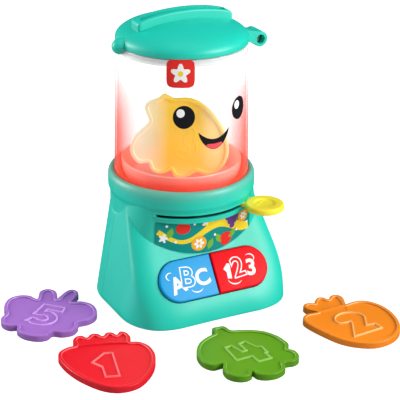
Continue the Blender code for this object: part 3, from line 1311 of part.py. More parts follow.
def ridge():
    """The raised grip across the lid; its top runs level with the dome."""
    steps = 10
    top = []
    bottom = []
    for index in range(steps + 1):
        x = blend_between(-RIDGE_HALF_LENGTH, RIDGE_HALF_LENGTH, index / steps)
        end = 1 if index in (0, steps) else 0
        top.append((x, dome_height(x) + RIDGE_RISE - end * RIDGE_ROUND))
        bottom.append((x, dome_height(x, RIDGE_WIDTH / 2) - LID_WALL / 3))
    inset_top = [(x, z - RIDGE_ROUND) for x, z in top]
    low = -RIDGE_WIDTH / 2
    rings = []
    for y, line in ((low, inset_top), (low + RIDGE_ROUND, top), (-low - RIDGE_ROUND, top), (-low, inset_top)):
        rings.append([(x, y, z) for x, z in line + bottom[::-1]])
    return lofted(rings)


def nub():
    """The rounded thumb tab on the lid's edge, opposite the hinge."""
    steps = 5
    length = NUB_REACH + NUB_ROOT
    profile = [(0, 0)]
    for index in range(steps + 1):
        turn = math.pi / 2 * index / steps
        profile.append((NUB_RADIUS * math.cos(turn), length * math.sin(turn)))
    place = Matrix.Translation((-LID_RADIUS + NUB_ROOT, 0, LID_Z + NUB_RISE))
    return moved(revolved(profile, ROUND_STEPS // 2), place @ Matrix.Rotation(-math.pi / 2, 4, "Y"))


def lid_arm_outline():
    """Side view (x, z) of the arm from the lid's edge to the hinge barrel."""
    clear = JAR_MOUTH_RADIUS + 4 * GAP
    return [
        (PLUG_RADIUS, LID_Z), (clear, LID_Z), (clear, HINGE_Z), (HINGE_X, HINGE_Z - BARREL_RADIUS * 0.9),
        (HINGE_X, HINGE_Z + BARREL_RADIUS * 0.98),
        (LID_RADIUS + BARREL_RADIUS * 0.5, HINGE_Z + BARREL_RADIUS * 1.3),
        (PLUG_RADIUS, DOME_Z + LID_DOME_HEIGHT * 0.2),
    ]


def lid(colour):
    made = finish("lid", revolved(lid_profile(), ROUND_STEPS), colour)
    start = LID_BARREL_START_Y
    end = start + LID_BARREL_LENGTH
    axis = (HINGE_X, HINGE_Z)
    barrel = rod_along_y(BARREL_RADIUS, start, end, axis, ROUND_STEPS // 2)
    add(made, ridge(), nub(), extruded_along_y(lid_arm_outline(), start, end), barrel)
    bore = rod_along_y(BARREL_BORE_RADIUS, start - OVERRUN, end + OVERRUN, axis, ROUND_STEPS // 2)
    half_length = DISC_SLOT_LENGTH / 2
    half_width = DISC_SLOT_WIDTH / 2
    slot = block((-half_length, half_length), (-half_width, half_width), (DOME_Z, DOME_Z + 2 * LID_DOME_HEIGHT))
    inner = JAR_MOUTH_RADIUS - JAR_WALL - GAP
    outer = JAR_MOUTH_RADIUS + 2 * GAP
    low = JAR_TOP_Z - 2 * PLUG_DEPTH
    keep_out = [(inner, low), (outer, low), (outer, LID_Z), (inner, LID_Z)]
    return cut(made, bore, slot, revolved(keep_out, FINE_STEPS, closed=True))


def smooth_loop(points, steps):
    """Points of the closed Catmull-Rom curve through the given ones."""
    loop = []
    for index, here in enumerate(points):
        before, after = points[index - 1], points[(index + 1) % len(points)]
        beyond = points[(index + 2) % len(points)]
        for step in range(steps):
            share = step / steps
            loop.append(tuple(
                b + share * (c - a) / 2 + share ** 2 * (a - 2.5 * b + 2 * c - d / 2)
                + share ** 3 * (1.5 * (b - c) + (d - a) / 2)
                for a, b, c, d in zip(before, here, after, beyond)
            ))
    return loop


def disc_ring(shares, inset, z):
    """The disc's outline, drawn in towards its middle by the inset."""
    ring = []
    for x, y in smooth_loop(shares, DISC_CURVE_STEPS):
        scale = DISC_SIZE - inset / math.hypot(x, y)
        ring.append((x * scale, y * scale, z))
    return ring


def picture_disc(name, shares, colour):
    """A flat disc with a raised border round a shallow recess."""
    recess = DISC_THICKNESS - DISC_RECESS
    levels = (
        (0, 0), (0, DISC_THICKNESS - DISC_EDGE_ROUND), (DISC_EDGE_ROUND, DISC_THICKNESS),
        (DISC_BORDER, DISC_THICKNESS), (DISC_BORDER + DISC_RECESS / 3, recess),
    )
    return finish(name, lofted([disc_ring(shares, inset, z) for inset, z in levels]), colour)


def floor_disc(name, circles, place, angle, colour):
    disc = picture_disc(name, circles, colour)
    disc.location = (*place, 0)
    disc.rotation_euler = (0, 0, angle)
    return disc


def jar_disc(colour):
    """The disc that stands in the jar, leaning back a little, facing left of the front."""
    disc = picture_disc("yellow_disc", LEANING_FRUIT_SHARES, colour)
    lowest = min(y for x, y, z in disc_ring(LEANING_FRUIT_SHARES, 0, 0))
    height = DISH_FLOOR_Z + GAP - lowest * math.cos(JAR_DISC_LEAN)
    turn = Matrix.Rotation(JAR_DISC_TURN, 4, "Z")
    stand = Matrix.Rotation(math.pi / 2 - JAR_DISC_LEAN, 4, "X")
    place = turn @ Matrix.Translation((JAR_DISC_SIDE, -JAR_DISC_FORWARD, height)) @ stand
    disc.matrix_world = place
    return disc


def clear_scene():
    for old in list(bpy.data.objects):
        bpy.data.objects.remove(old, do_unlink=True)


def build():
    clear_scene()
    teal = material("teal_plastic", (0.06, 0.62, 0.52), 0.38)
    clear = material("clear_plastic", (0.95, 0.97, 0.98), 0.05, alpha=0.3, transmission=0.9)
    glow = material("glowing_red_plastic", (0.95, 0.12, 0.10), 0.3, alpha=0.7)
    yellow = material("yellow_plastic", (0.96, 0.83, 0.10), 0.4)
    blue = material("blue_plastic", (0.05, 0.45, 0.85), 0.3)
    red = material("red_plastic", (0.85, 0.02, 0.04), 0.3)
    orange = material("orange_plastic", (0.95, 0.35, 0.03), 0.4)
    green = material("green_plastic", (0.15, 0.45, 0.05), 0.4)
    purple = material("purple_plastic", (0.35, 0.16, 0.60), 0.4)
    white = material("white_plastic", (0.85, 0.85, 0.83), 0.5)
    black = material("black_plastic", (0.03, 0.03, 0.03), 0.5)
    rubber = material("grey_rubber", (0.35, 0.35, 0.36), 0.8)
    steel = material("screw_steel", (0.6, 0.6, 0.62), 0.35, metallic=1.0)
    board = material("board_green", (0.03, 0.25, 0.10), 0.5)
    print_sheet = material("printed_label", (0.05, 0.45, 0.40), 0.45)
    frame = panel_frame()
    core = tool("housing_core_tool", housing_core())
    front_housing(teal, core)
    rear_housing(teal, core)
    base_plate(teal)
    battery_door(teal)
    all_screws(steel)
    for number in range(CELL_COUNT):
        battery_cell(number, black)
    battery_contact("battery_contact_front", -1, steel)
    battery_contact("battery_contact_rear", 1, steel)
    circuit_board(board, black)
    power_switch_knob(yellow)
    speaker(black)
    push_button("button_blue", -1, blue, frame)
    push_button("button_red", 1, red, frame)
    button_pad(rubber, frame)
    button_board(board, frame)
    front_label(print_sheet)
    lever(yellow)
    idler_gear(white)
    sun_gear(white)
    lower_deck(white)
    upper_deck(white)
    turntable(glow)
    light_board(board)
    leds(red)
    jar(clear)
    hinge_bracket(teal)
    hinge_pin(steel)
    lid(teal)
    floor_disc("red_disc", BERRY_SHARES, RED_DISC_PLACE, RED_DISC_ANGLE, red)
    floor_disc("green_disc", BUSHY_SHARES, GREEN_DISC_PLACE, GREEN_DISC_ANGLE, green)
    floor_disc("orange_disc", ROUND_FRUIT_SHARES, ORANGE_DISC_PLACE, ORANGE_DISC_ANGLE, orange)
    floor_disc("purple_disc", CLUSTER_SHARES, PURPLE_DISC_PLACE, PURPLE_DISC_ANGLE, purple)
    jar_disc(yellow)


build()
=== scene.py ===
"""The looks of the toy blender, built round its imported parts, in metres."""

import json
import math

import bmesh
import bpy
import numpy as np
from mathutils import Matrix, Vector


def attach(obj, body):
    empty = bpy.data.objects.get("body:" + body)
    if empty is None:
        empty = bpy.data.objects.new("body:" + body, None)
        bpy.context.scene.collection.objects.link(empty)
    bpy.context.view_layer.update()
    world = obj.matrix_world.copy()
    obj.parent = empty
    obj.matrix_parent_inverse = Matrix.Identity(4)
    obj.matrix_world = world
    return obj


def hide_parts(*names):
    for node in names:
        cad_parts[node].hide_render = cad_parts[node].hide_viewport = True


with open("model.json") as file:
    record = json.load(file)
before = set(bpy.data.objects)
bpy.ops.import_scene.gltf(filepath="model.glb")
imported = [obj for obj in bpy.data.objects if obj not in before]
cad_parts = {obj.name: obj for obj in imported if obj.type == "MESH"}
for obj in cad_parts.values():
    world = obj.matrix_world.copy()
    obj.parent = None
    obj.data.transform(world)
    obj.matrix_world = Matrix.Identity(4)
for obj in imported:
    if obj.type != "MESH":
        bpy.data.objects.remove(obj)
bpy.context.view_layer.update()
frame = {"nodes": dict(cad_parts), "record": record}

# Shared clearances and facet counts
GAP = 0.0003
TURN_STEPS = 144
SHELL_STEPS = 216
PRINT_LIFT = 0.00012
PRINT_THICKNESS = 0.0001
SINK = 0.0002
SMOOTH_ANGLE = math.radians(32)

# The housing's sizes, as in the part's source
WALL = 0.0025
WAIST_Z = 0.092
FOOT_HALF_WIDTH, WAIST_HALF_WIDTH = 0.0762, 0.0593
FOOT_FRONT_DEPTH, WAIST_FRONT_DEPTH = 0.0813, 0.1118
FOOT_CORNER_RADIUS, WAIST_CORNER_RADIUS = 0.0412, 0.0611
FOOT_BACK_DEPTH, WAIST_BACK_DEPTH = 0.0638, 0.0614
BLEND = 0.0221
FOOT_ROUND = 0.0012
PARTING_Y = 0.0023
APRON_RADIUS, APRON_FRONT = 0.113, 0.0507
PANEL_SLOPE_ANGLE = math.radians(36.06)
PANEL_FRONT, PANEL_MARK_Z = 0.0517, 0.0495
SLOPE = math.tan(PANEL_SLOPE_ANGLE)
LIP_Z, LIP_ROUND = 0.084, 0.0006
DRUM_RADIUS, DRUM_BORE = 0.0613, 0.0588
COLLAR_RADIUS, COLLAR_LOW_Z, COLLAR_HIGH_Z, COLLAR_TOP_Z = 0.063, 0.098, 0.106, 0.112
COLLAR_ROUND, COLLAR_BORE = 0.0034, 0.0576
LIP_FLOOR_Z = 0.0863
JAR_SEAT_Z, GROOVE_TOP_Z, GROOVE_RADIUS = 0.0957, 0.0988, 0.0598
SLOT_LOW_Z, SLOT_HIGH_Z, SLOT_HALF_ANGLE = 0.088, 0.092, math.radians(46.4)

# The buttons on the sloped panel
BUTTONS_CENTRE_Z = 0.0355
BUTTONS_HALF_LENGTH, BUTTONS_HALF_HEIGHT = 0.0509, 0.0178
BUTTON_SIDE_GAP, BUTTON_SPLIT_GAP = 0.0007, 0.0008
BUTTON_RISE, BUTTON_ROUND = 0.0026, 0.0015

# The rear shell's holes
SCREW_PLACES = [(side * x, z) for x, z in ((0.050, 0.074), (0.056, 0.024)) for side in (-1, 1)]
WELL_RADIUS = 0.0036
GRILLE_HOLE_RADIUS, GRILLE_PITCH, SPEAKER_Z, SPEAKER_SEAT_Y = 0.0019, 0.0066, 0.056, 0.055
KNOB_Z, KNOB_HALF_SPAN, KNOB_HALF_HEIGHT = 0.0284, 0.006, 0.0025

# Jar, dish and lid
JAR_FOOT_RADIUS, JAR_MOUTH_RADIUS, JAR_WALL = 0.0573, 0.055, 0.002
JAR_FOOT_Z, JAR_TOP_Z, JAR_FLANGE_RADIUS, JAR_FLANGE_THICKNESS = 0.096, 0.2242, 0.0595, 0.0025
DISH_FLOOR_Z, DISH_RIM_Z, DISH_RIM_RADIUS, DISH_FLOOR_RADIUS, DISH_WALL = 0.105, 0.1215, 0.0513, 0.0445, 0.0017
LID_Z, LID_RADIUS, LID_DOME_HEIGHT, LID_WALL = 0.2245, 0.0556, 0.0165, 0.0022
DOME_Z = LID_Z + 0.003
PLUG_RADIUS, PLUG_WALL, PLUG_DEPTH = 0.0517, 0.002, 0.0055
RIDGE_HALF_LENGTH, RIDGE_HALF_WIDTH, RIDGE_RISE, RIDGE_ROUND = 0.0434, 0.0075, 0.007, 0.0014
DISC_SLOT_HALF_LENGTH, DISC_SLOT_HALF_WIDTH = 0.0392, 0.0034
HINGE_X, HINGE_Z, BARREL_RADIUS, BARREL_BORE_RADIUS = 0.070, 0.218, 0.0066, 0.004
BARREL_START_Y, BARREL_END_Y = -0.009, 0.003

# The lever
LEVER_LOW_Z, LEVER_HIGH_Z = 0.0884, 0.0916
LEVER_REST_ANGLE = math.radians(37.3)
LEVER_PADDLE_RADIUS, LEVER_PADDLE_REACH, LEVER_PADDLE_THICKNESS = 0.0165, 0.0785, 0.0056
LEVER_PADDLE_TOP_Z = 0.0925
LEVER_DIMPLE_RADIUS, LEVER_DIMPLE_DEPTH = 0.0095, 0.0013
LEVER_NECK_HALF_WIDTH, LEVER_RING_RADIUS = 0.008, 0.0565

# Discs
DISC_SIZE, DISC_THICKNESS, DISC_BORDER, DISC_RECESS = 0.040, 0.0055, 0.0031, 0.0014
DISC_FIT = 0.997


# Shader building


class Wire:
    """A shader value; Python's operators on it add Math nodes."""

    def __init__(self, owner, socket):
        self.owner = owner
        self.socket = socket

    def _math(self, operation, *others):
        values = dict(enumerate((self, *others)))
        return self.owner.node("ShaderNodeMath", {"operation": operation}, values)

    def __add__(self, other):
        return self._math("ADD", other)

    __radd__ = __add__

    def __mul__(self, other):
        return self._math("MULTIPLY", other)

    __rmul__ = __mul__

    def __sub__(self, other):
        return self._math("SUBTRACT", other)

    def __rsub__(self, other):
        return self * -1 + other

    def __truediv__(self, other):
        return self._math("DIVIDE", other)

    def __pow__(self, other):
        return self._math("POWER", other)

    def turned_from(self, other):
        """The angle whose tangent is this value over the other."""
        return self._math("ARCTAN2", other)

    def most(self, other):
        return self._math("MAXIMUM", other)

    def least(self, other):
        return self._math("MINIMUM", other)

    def unit(self):
        """Held between 0 and 1."""
        return self.most(0.0).least(1.0)


class Shading:
    """A node tree, and the one method that adds a node to it."""

    def __init__(self, tree):
        self.tree = tree

    def node(self, kind, settings, values, out=0):
        """Adds a node: its settings first, then the values or links of its sockets."""
        made = self.tree.nodes.new(kind)
        for key, value in settings.items():
            setattr(made, key, value)
        for key, value in values.items():
            if isinstance(value, Wire):
                self.tree.links.new(value.socket, made.inputs[key])
            else:
                made.inputs[key].default_value = value
        return Wire(self, made.outputs[out])

    def ray(self, kind):
        """1 for one kind of ray, 0 for the others."""
        return self.node("ShaderNodeLightPath", {}, {}, f"Is {kind} Ray")


class Finish(Shading):
    """One material: a Principled shader and what feeds it."""

    def __init__(self, name, colour, roughness, **constants):
        self.material = bpy.data.materials.new(name)
        self.material.use_nodes = True
        super().__init__(self.material.node_tree)
        self.shader = self.tree.nodes["Principled BSDF"]
        self.shader.inputs["Base Color"].default_value = (*colour, 1)
        self.shader.inputs["Roughness"].default_value = roughness
        for socket, value in constants.items():
            self.shader.inputs[socket.replace("_", " ")].default_value = value
        self.place = self.node("ShaderNodeTexCoord", {}, {}, "Object")

    def feed(self, socket, wire):
        self.tree.links.new(wire.socket, self.shader.inputs[socket])

    def noise(self, scale, detail=2.0, roughness=0.5):
        values = {"Vector": self.place, "Scale": scale, "Detail": detail, "Roughness": roughness}
        return self.node("ShaderNodeTexNoise", {}, values)

    def axis(self, name):
        return self.node("ShaderNodeSeparateXYZ", {}, {0: self.place}, name)

    def mixed(self, share, first, second):
        """A colour between two colours or colour wires."""
        values = {0: share}
        for index, colour in ((6, first), (7, second)):
            values[index] = colour if isinstance(colour, Wire) else (*colour, 1)
        return self.node("ShaderNodeMix", {"data_type": "RGBA"}, values, 2)

    def bump(self, height, strength, distance):
        values = {"Height": height, "Strength": strength, "Distance": distance}
        self.feed("Normal", self.node("ShaderNodeBump", {}, values))

    def glow(self, colour, strength):
        self.feed("Emission Color", colour)
        self.shader.inputs["Emission Strength"].default_value = strength

    def facing(self):
        """0 where the surface faces the eye, 1 at its outline."""
        return self.node("ShaderNodeLayerWeight", {}, {"Blend": 0.5}, "Facing")

    def reach(self):
        """Distance from the Z axis."""
        return (self.axis("X") ** 2.0 + self.axis("Y") ** 2.0) ** 0.5


def shade(colour, factor):
    return tuple(min(channel * factor, 1.0) for channel in colour)


def moulded(name, colour, roughness=0.36, grain=0.10, **constants):
    """Injection-moulded plastic: faint flow marks in the colour, fine spark grain, uneven gloss."""
    made = Finish(name, colour, roughness, **{"Specular_IOR_Level": 0.5, **constants})
    made.flow = made.mixed(made.noise(22.0, 3.0, 0.6), shade(colour, 0.955), shade(colour, 1.04))
    made.feed("Base Color", made.flow)
    grain_height = made.noise(1500.0, 2.0, 0.6)
    made.feed("Roughness", (made.noise(60.0) - 0.5) * 0.09 + (grain_height - 0.5) * 0.08 + roughness)
    made.bump(grain_height * 0.5 + made.noise(260.0) * 0.5, grain, 0.0002)
    return made


def printed(name, colour, roughness=0.32):
    """Printing ink on a smooth surface: a faint screen of dots and a thin gloss."""
    made = Finish(name, colour, roughness, Specular_IOR_Level=0.2)
    made.feed("Base Color", made.mixed(made.noise(900.0), shade(colour, 0.97), shade(colour, 1.02)))
    made.feed("Roughness", made.noise(300.0) * 0.08 + roughness)
    return made


def bell(value, middle, reach):
    """1 at the middle, falling to 0 at the reach on either side."""
    away = (value - middle) / reach
    return (1 - away * away).unit() ** 1.5


def rise(value, low, high):
    """0 at low, 1 at high, held at both ends."""
    return ((value - low) / (high - low)).unit()


def jar_finish():
    """Clear polystyrene: nearly invisible face on, with a painted red glow rising in its foot and its edges, painted
    reflections, painted grey shade at its outline, and a frosted band where the lid's plug stands behind it."""
    made = Finish("clear_jar", (1.0, 1.0, 1.0), 0.045, Specular_IOR_Level=0.45)
    height = made.axis("Z")
    facing = made.facing()
    turn = made.axis("X").turned_from(made.axis("Y") * -1)
    # Painted red glow of the dish's light: along the outline higher up, low on the wall, and strongest in the foot.
    edge = rise(facing, 0.24, 0.98) ** 1.1 * rise(height, 0.197, 0.150) * 0.60
    low = rise(height, 0.150, 0.112) ** 1.5 * rise(facing, 0.15, 0.85) * 0.18
    foot = rise(height, 0.1185, 0.1125) ** 1.2 * 0.36
    red = (edge + low + foot).least(0.72)
    # Painted reflections: a broad pale band left of the front and a faint one at the front, above the foot.
    painted_reflection = (bell(turn, -1.02, 0.34) * 0.16 + bell(turn, -0.02, 0.22) * 0.07) * rise(height, 0.116, 0.150)
    line = bell(height, 0.2187, 0.0005).most(bell(height, 0.2239, 0.0005))
    # Painted reflection: the wall turns whiter and more opaque towards its outline.
    clear = rise(facing, 0.60, 1.0) ** 2.0 * 0.25 + painted_reflection + 0.015
    # Painted shade: the outline turns grey.
    painted_limb_shade = rise(facing, 0.84, 0.97)
    clear = (clear + painted_limb_shade * 0.22).most(rise(height, 0.2186, 0.2189) * 0.62).most(line * 0.7)
    plain = made.mixed(line.most(painted_limb_shade * 0.85), (0.93, 0.94, 0.94), (0.44, 0.50, 0.48))
    share = red / (red + clear)
    made.feed("Base Color", made.mixed(share, plain, (0.95, 0.060, 0.022)))
    made.glow(made.mixed(share, (0.0, 0.0, 0.0), (1.0, 0.090, 0.035)), 0.25)
    made.feed("Alpha", (red + clear).unit())
    made.feed("Roughness", made.noise(30.0) * 0.03 + 0.03)
    made.bump(made.noise(9.0, 1.0), 0.05, 0.002)
    return made


def dish_finish():
    """Translucent red plastic lit from below by a painted glow, brightest over the lamps; painted sheen pales it up the
    wall and towards its outline, and a painted highlight pales the lip.
    """
    made = Finish("glowing_dish", (0.93, 0.10, 0.07), 0.28, Specular_IOR_Level=0.4)
    height = made.axis("Z")
    up = rise(height, DISH_FLOOR_Z, DISH_RIM_Z - 0.001)
    # Painted highlight along the lip.
    lip = rise(height, DISH_RIM_Z - 0.0012, DISH_RIM_Z - 0.0003)
    facing = made.facing()
    # Painted sheen: paler up the wall and towards the outline.
    pale = (up * 0.45 + rise(facing, 0.25, 0.80) * 0.75).unit()
    body = made.mixed(pale, (0.97, 0.060, 0.030), (1.0, 0.66, 0.56))
    made.feed("Base Color", made.mixed(lip, body, (1.0, 0.70, 0.64)))
    made.glow(made.mixed(pale, (1.0, 0.08, 0.03), (0.70, 0.30, 0.24)), 0.25)
    made.feed("Alpha", 0.97 - up * 0.25)
    made.bump(made.noise(1200.0), 0.05, 0.0002)
    return made


def teal_finish(colour):
    """Teal moulding; the collar's crest takes a painted red tint and glow, standing in for the jar's red light falling
    on it.
    """
    made = moulded("teal_moulding", colour, 0.44, Specular_IOR_Level=0.65)
    height = made.axis("Z")
    # Painted light: the jar's red glow falling on the collar's crest.
    crest = rise(made.reach(), 0.0700, 0.0600) * rise(height, 0.1020, 0.1130) * rise(height, 0.1300, 0.1250)
    made.feed("Base Color", made.mixed(crest * 0.7, made.flow, (0.10, 0.37, 0.29)))
    made.glow(made.mixed(crest, (0.0, 0.0, 0.0), (0.13, 0.020, 0.012)), 0.8)
    return made


def deck_finish(colour):
    """White acetal; the decks' rims, which the lever's slot shows, are painted dark as the shade inside the drum."""
    made = moulded("white_acetal", colour, 0.45)
    # Painted shade: white parts out near the drum's wall turn dark teal.
    made.feed("Base Color", made.mixed(rise(made.reach(), 0.048, 0.052), made.flow, (0.004, 0.045, 0.038)))
    return made


def disc_finish(name, colour):
    """Moulded plastic with painted shade: its walls and the foot of the raised border are darker than the flat top."""
    made = moulded(name, colour, 0.40, 0.14, Specular_IOR_Level=0.4)
    # Painted shade: the less a face points up, the darker it is.
    normal = made.node("ShaderNodeTexCoord", {}, {}, "Normal")
    level = rise(made.node("ShaderNodeSeparateXYZ", {}, {0: normal}, "Z"), 0.25, 0.95)
    made.feed("Base Color", made.mixed(level, shade(colour, 0.76), made.flow))
    return made


def lever_finish(colour):
    """Yellow moulding; the ring that runs inside the drum is painted dark teal as the shade seen through the slot."""
    made = moulded("yellow_moulding", colour, 0.30)
    # Painted shade: the ring inside the drum turns dark teal.
    made.feed("Base Color", made.mixed(rise(made.reach(), 0.0570, 0.0580), (0.006, 0.060, 0.050), made.flow))
    return made


def jar_disc_finish(colour):
    """The disc in the jar with a painted uneven glow: painted pale where the light strikes through it and low down,
    golden in its middle.
    """
    made = moulded("yellow_disc_moulding", colour, 0.42, 0.14)
    across = made.axis("X") * 0.886 + made.axis("Y") * -0.463
    # Painted light: pale to the left, less so to the right and low down, with a little noise.
    pale = rise(across, -0.010, -0.036).most(rise(across, 0.018, 0.040) * 0.45)
    pale = pale.most(rise(made.axis("Z"), 0.118, 0.106) * 0.3)
    pale = (pale + made.noise(40.0, 3.0) * 0.2 - 0.1).unit()
    made.feed("Base Color", made.mixed(pale, colour, (1.0, 0.92, 0.62)))
    made.glow(made.mixed(pale, (1.0, 0.66, 0.08), (1.0, 0.92, 0.58)), 0.22)
    return made


def metal(name, colour, roughness):
    made = Finish(name, colour, roughness, Metallic=1.0)
    brushed = made.noise(700.0, 3.0)
    made.feed("Base Color", made.mixed(brushed, shade(colour, 0.88), shade(colour, 1.08)))
    made.feed("Roughness", brushed * 0.2 + (roughness - 0.1))
    made.bump(brushed, 0.1, 0.0001)
    return made


finishes = {
    "teal_plastic": teal_finish((0.001, 0.600, 0.460)),
    "clear_plastic": jar_finish(),
    "glowing_red_plastic": dish_finish(),
    "yellow_plastic": lever_finish((1.0, 0.83, 0.045)),
    "yellow_disc_plastic": jar_disc_finish((0.92, 0.57, 0.022)),
    "blue_plastic": moulded("blue_moulding", (0.010, 0.340, 0.730), 0.36, Specular_IOR_Level=0.2),
    "red_plastic": moulded("red_moulding", (0.82, 0.000, 0.006), 0.34, Specular_IOR_Level=0.08),
    "red_disc_plastic": disc_finish("red_disc_moulding", (0.88, 0.006, 0.020)),
    "green_plastic": disc_finish("green_disc_moulding", (0.115, 0.350, 0.006)),
    "orange_plastic": disc_finish("orange_disc_moulding", (1.0, 0.270, 0.008)),
    "purple_plastic": disc_finish("purple_disc_moulding", (0.400, 0.170, 0.620)),
    "white_plastic": deck_finish((0.80, 0.80, 0.77)),
    "black_plastic": moulded("black_moulding", (0.015, 0.015, 0.016), 0.45),
    "battery_sleeve": printed("battery_sleeve_film", (0.03, 0.03, 0.035)),
    "grey_rubber": moulded("grey_rubber", (0.22, 0.22, 0.23), 0.75, 0.2),
    "screw_steel": metal("zinc_steel", (0.62, 0.62, 0.63), 0.34),
    "circuit_board": moulded("green_board", (0.02, 0.16, 0.06), 0.35),
    "printed_label": printed("label_ground", (0.001, 0.275, 0.250), 0.40),
    "red_lens_plastic": moulded("red_lens", (0.85, 0.02, 0.01), 0.15),
}
# Painted highlights: lighter copies of each disc's plastic for the ridges of its digit and border; the yellow disc
# keeps its own finish.
crest_highlights = {
    "red_disc_plastic": moulded("red_disc_crest", (1.0, 0.170, 0.180), 0.42),
    "green_plastic": moulded("green_disc_crest", (0.28, 0.56, 0.090), 0.42),
    "orange_plastic": moulded("orange_disc_crest", (1.0, 0.520, 0.170), 0.42),
    "purple_plastic": moulded("purple_disc_crest", (0.62, 0.330, 0.820), 0.42),
    "yellow_disc_plastic": finishes["yellow_disc_plastic"],
}
inks = {
    "white": printed("white_ink", (0.93, 0.93, 0.92)),
    "black": printed("black_ink", (0.012, 0.013, 0.016), 0.2),
    "red": printed("red_ink", (0.78, 0.028, 0.022)),
    "yellow": printed("yellow_ink", (0.90, 0.66, 0.03)),
    "gold": printed("gold_ink", (0.88, 0.42, 0.02)),
    "green": printed("green_ink", (0.18, 0.46, 0.05)),
    "purple": printed("purple_ink", (0.16, 0.055, 0.30)),
    "pink": printed("pink_ink", (0.87, 0.075, 0.105)),
}


# Mesh building


def grid_faces(rows, columns, wrap_rows, wrap_columns):
    """Index quads of a grid of points, row after row."""
    row = np.arange(rows if wrap_rows else rows - 1)[:, None]
    column = np.arange(columns if wrap_columns else columns - 1)[None, :]
    above = (row + 1) % rows
    beside = (column + 1) % columns
    corners = (row * columns + column, row * columns + beside, above * columns + beside, above * columns + column)
    return np.stack([np.broadcast_to(corner, (row.size, column.size)).ravel() for corner in corners], axis=1)


def finished(name, mesh, finish, angle=SMOOTH_ANGLE):
    """Welds and turns the mesh outwards, and shades it smooth but for its sharp edges."""
    made = bmesh.new()
    made.from_mesh(mesh)
    bmesh.ops.remove_doubles(made, verts=made.verts, dist=1e-6)
    bmesh.ops.dissolve_degenerate(made, dist=1e-7, edges=made.edges)
    bmesh.ops.recalc_face_normals(made, faces=made.faces)
    made.to_mesh(mesh)
    made.free()
    mesh.shade_smooth()
    mesh.set_sharp_from_angle(angle=angle)
    mesh.materials.clear()
    mesh.materials.append(finish.material)
    piece = bpy.data.objects.new(name, mesh)
    bpy.context.scene.collection.objects.link(piece)
    return piece


def sheet_mesh(name, points, wrap_rows=False, wrap_columns=False, caps=False):
    """A mesh through a grid of points; caps closes the first and the last row with a fan."""
    rows, columns = points.shape[:2]
    places = points.reshape(-1, 3)
    faces = grid_faces(rows, columns, wrap_rows, wrap_columns).tolist()
    if caps:
        ends = np.stack([points[0].mean(axis=0), points[-1].mean(axis=0)])
        places = np.concatenate([places, ends])
        ring = np.arange(columns)
        onward = (ring + 1) % columns
        last = (rows - 1) * columns
        for hub, start in ((rows * columns, 0), (rows * columns + 1, last)):
            fan = np.stack([np.full(columns, hub), start + ring, start + onward], axis=1)
            faces += fan.tolist()
    mesh = bpy.data.meshes.new(name)
    mesh.from_pydata(places.tolist(), [], faces)
    return mesh


def capped_mesh(name, points):
    """A tube through rings of points, closed at both ends."""
    return sheet_mesh(name, points, wrap_columns=True, caps=True)


def polar(radius, turn, z):
    """Points by their turn from the front: x = r sin t, y = -r cos t."""
    x = radius * np.sin(turn)
    return np.stack([x, -radius * np.cos(turn), np.broadcast_to(z, x.shape)], axis=-1)


def lathe_points(profile, steps=TURN_STEPS):
    """A profile of (radius, z) turned round Z."""
    radius, height = np.asarray(profile, float).T
    return polar(radius[:, None], np.linspace(0, math.tau, steps, endpoint=False), height[:, None])


def lathe_mesh(name, profile, steps=TURN_STEPS, closed=False):
    """Turns a profile; a closed one makes a ring, an open one starts and ends on the axis."""
    return sheet_mesh(name, lathe_points(profile, steps), wrap_rows=closed, wrap_columns=True)


def arc(centre, radii, first, last, steps):
    """Points of an ellipse's arc in a profile, from angle first to last in degrees."""
    turn = np.radians(np.linspace(first, last, steps + 1))
    return list(zip(centre[0] + radii[0] * np.cos(turn), centre[1] + radii[1] * np.sin(turn)))


def prism_points(outline, levels):
    """Rings of one outline, a function of the inset, at (z, inset) levels."""
    rings = []
    for z, inset in levels:
        x, y = outline(inset)
        rings.append(np.stack([x, y, np.full_like(x, z)], axis=1))
    return np.stack(rings)


def round_edge(top, radius, steps=6):
    """(z, inset) levels of a rounded top edge, from its side up to its flat."""
    turn = np.linspace(0, math.pi / 2, steps + 1)
    return list(zip(top - radius + radius * np.sin(turn), radius * (1 - np.cos(turn))))


def box_mesh(name, low, high):
    corners = np.array([[x, y, z] for z in (low[2], high[2]) for x, y in (
        (low[0], low[1]), (high[0], low[1]), (high[0], high[1]), (low[0], high[1]))])
    return capped_mesh(name, corners.reshape(2, 4, 3))


def rod_mesh(name, radius, low, high, steps=48):
    return capped_mesh(name, lathe_points([(radius, low), (radius, high)], steps))


def along_y(x, z):
    """A frame whose own Z runs along world +Y, at one x and z."""
    return Matrix.Translation((x, 0, z)) @ Matrix.Rotation(-math.pi / 2, 4, "X")


def placed(mesh, matrix):
    mesh.transform(matrix)
    return mesh


def merged_mesh(name, meshes):
    """Several meshes as one, each left as it is."""
    made = bmesh.new()
    for mesh in meshes:
        made.from_mesh(mesh)
        bpy.data.meshes.remove(mesh)
    bmesh.ops.recalc_face_normals(made, faces=made.faces)
    mesh = bpy.data.meshes.new(name)
    made.to_mesh(mesh)
    made.free()
    return mesh


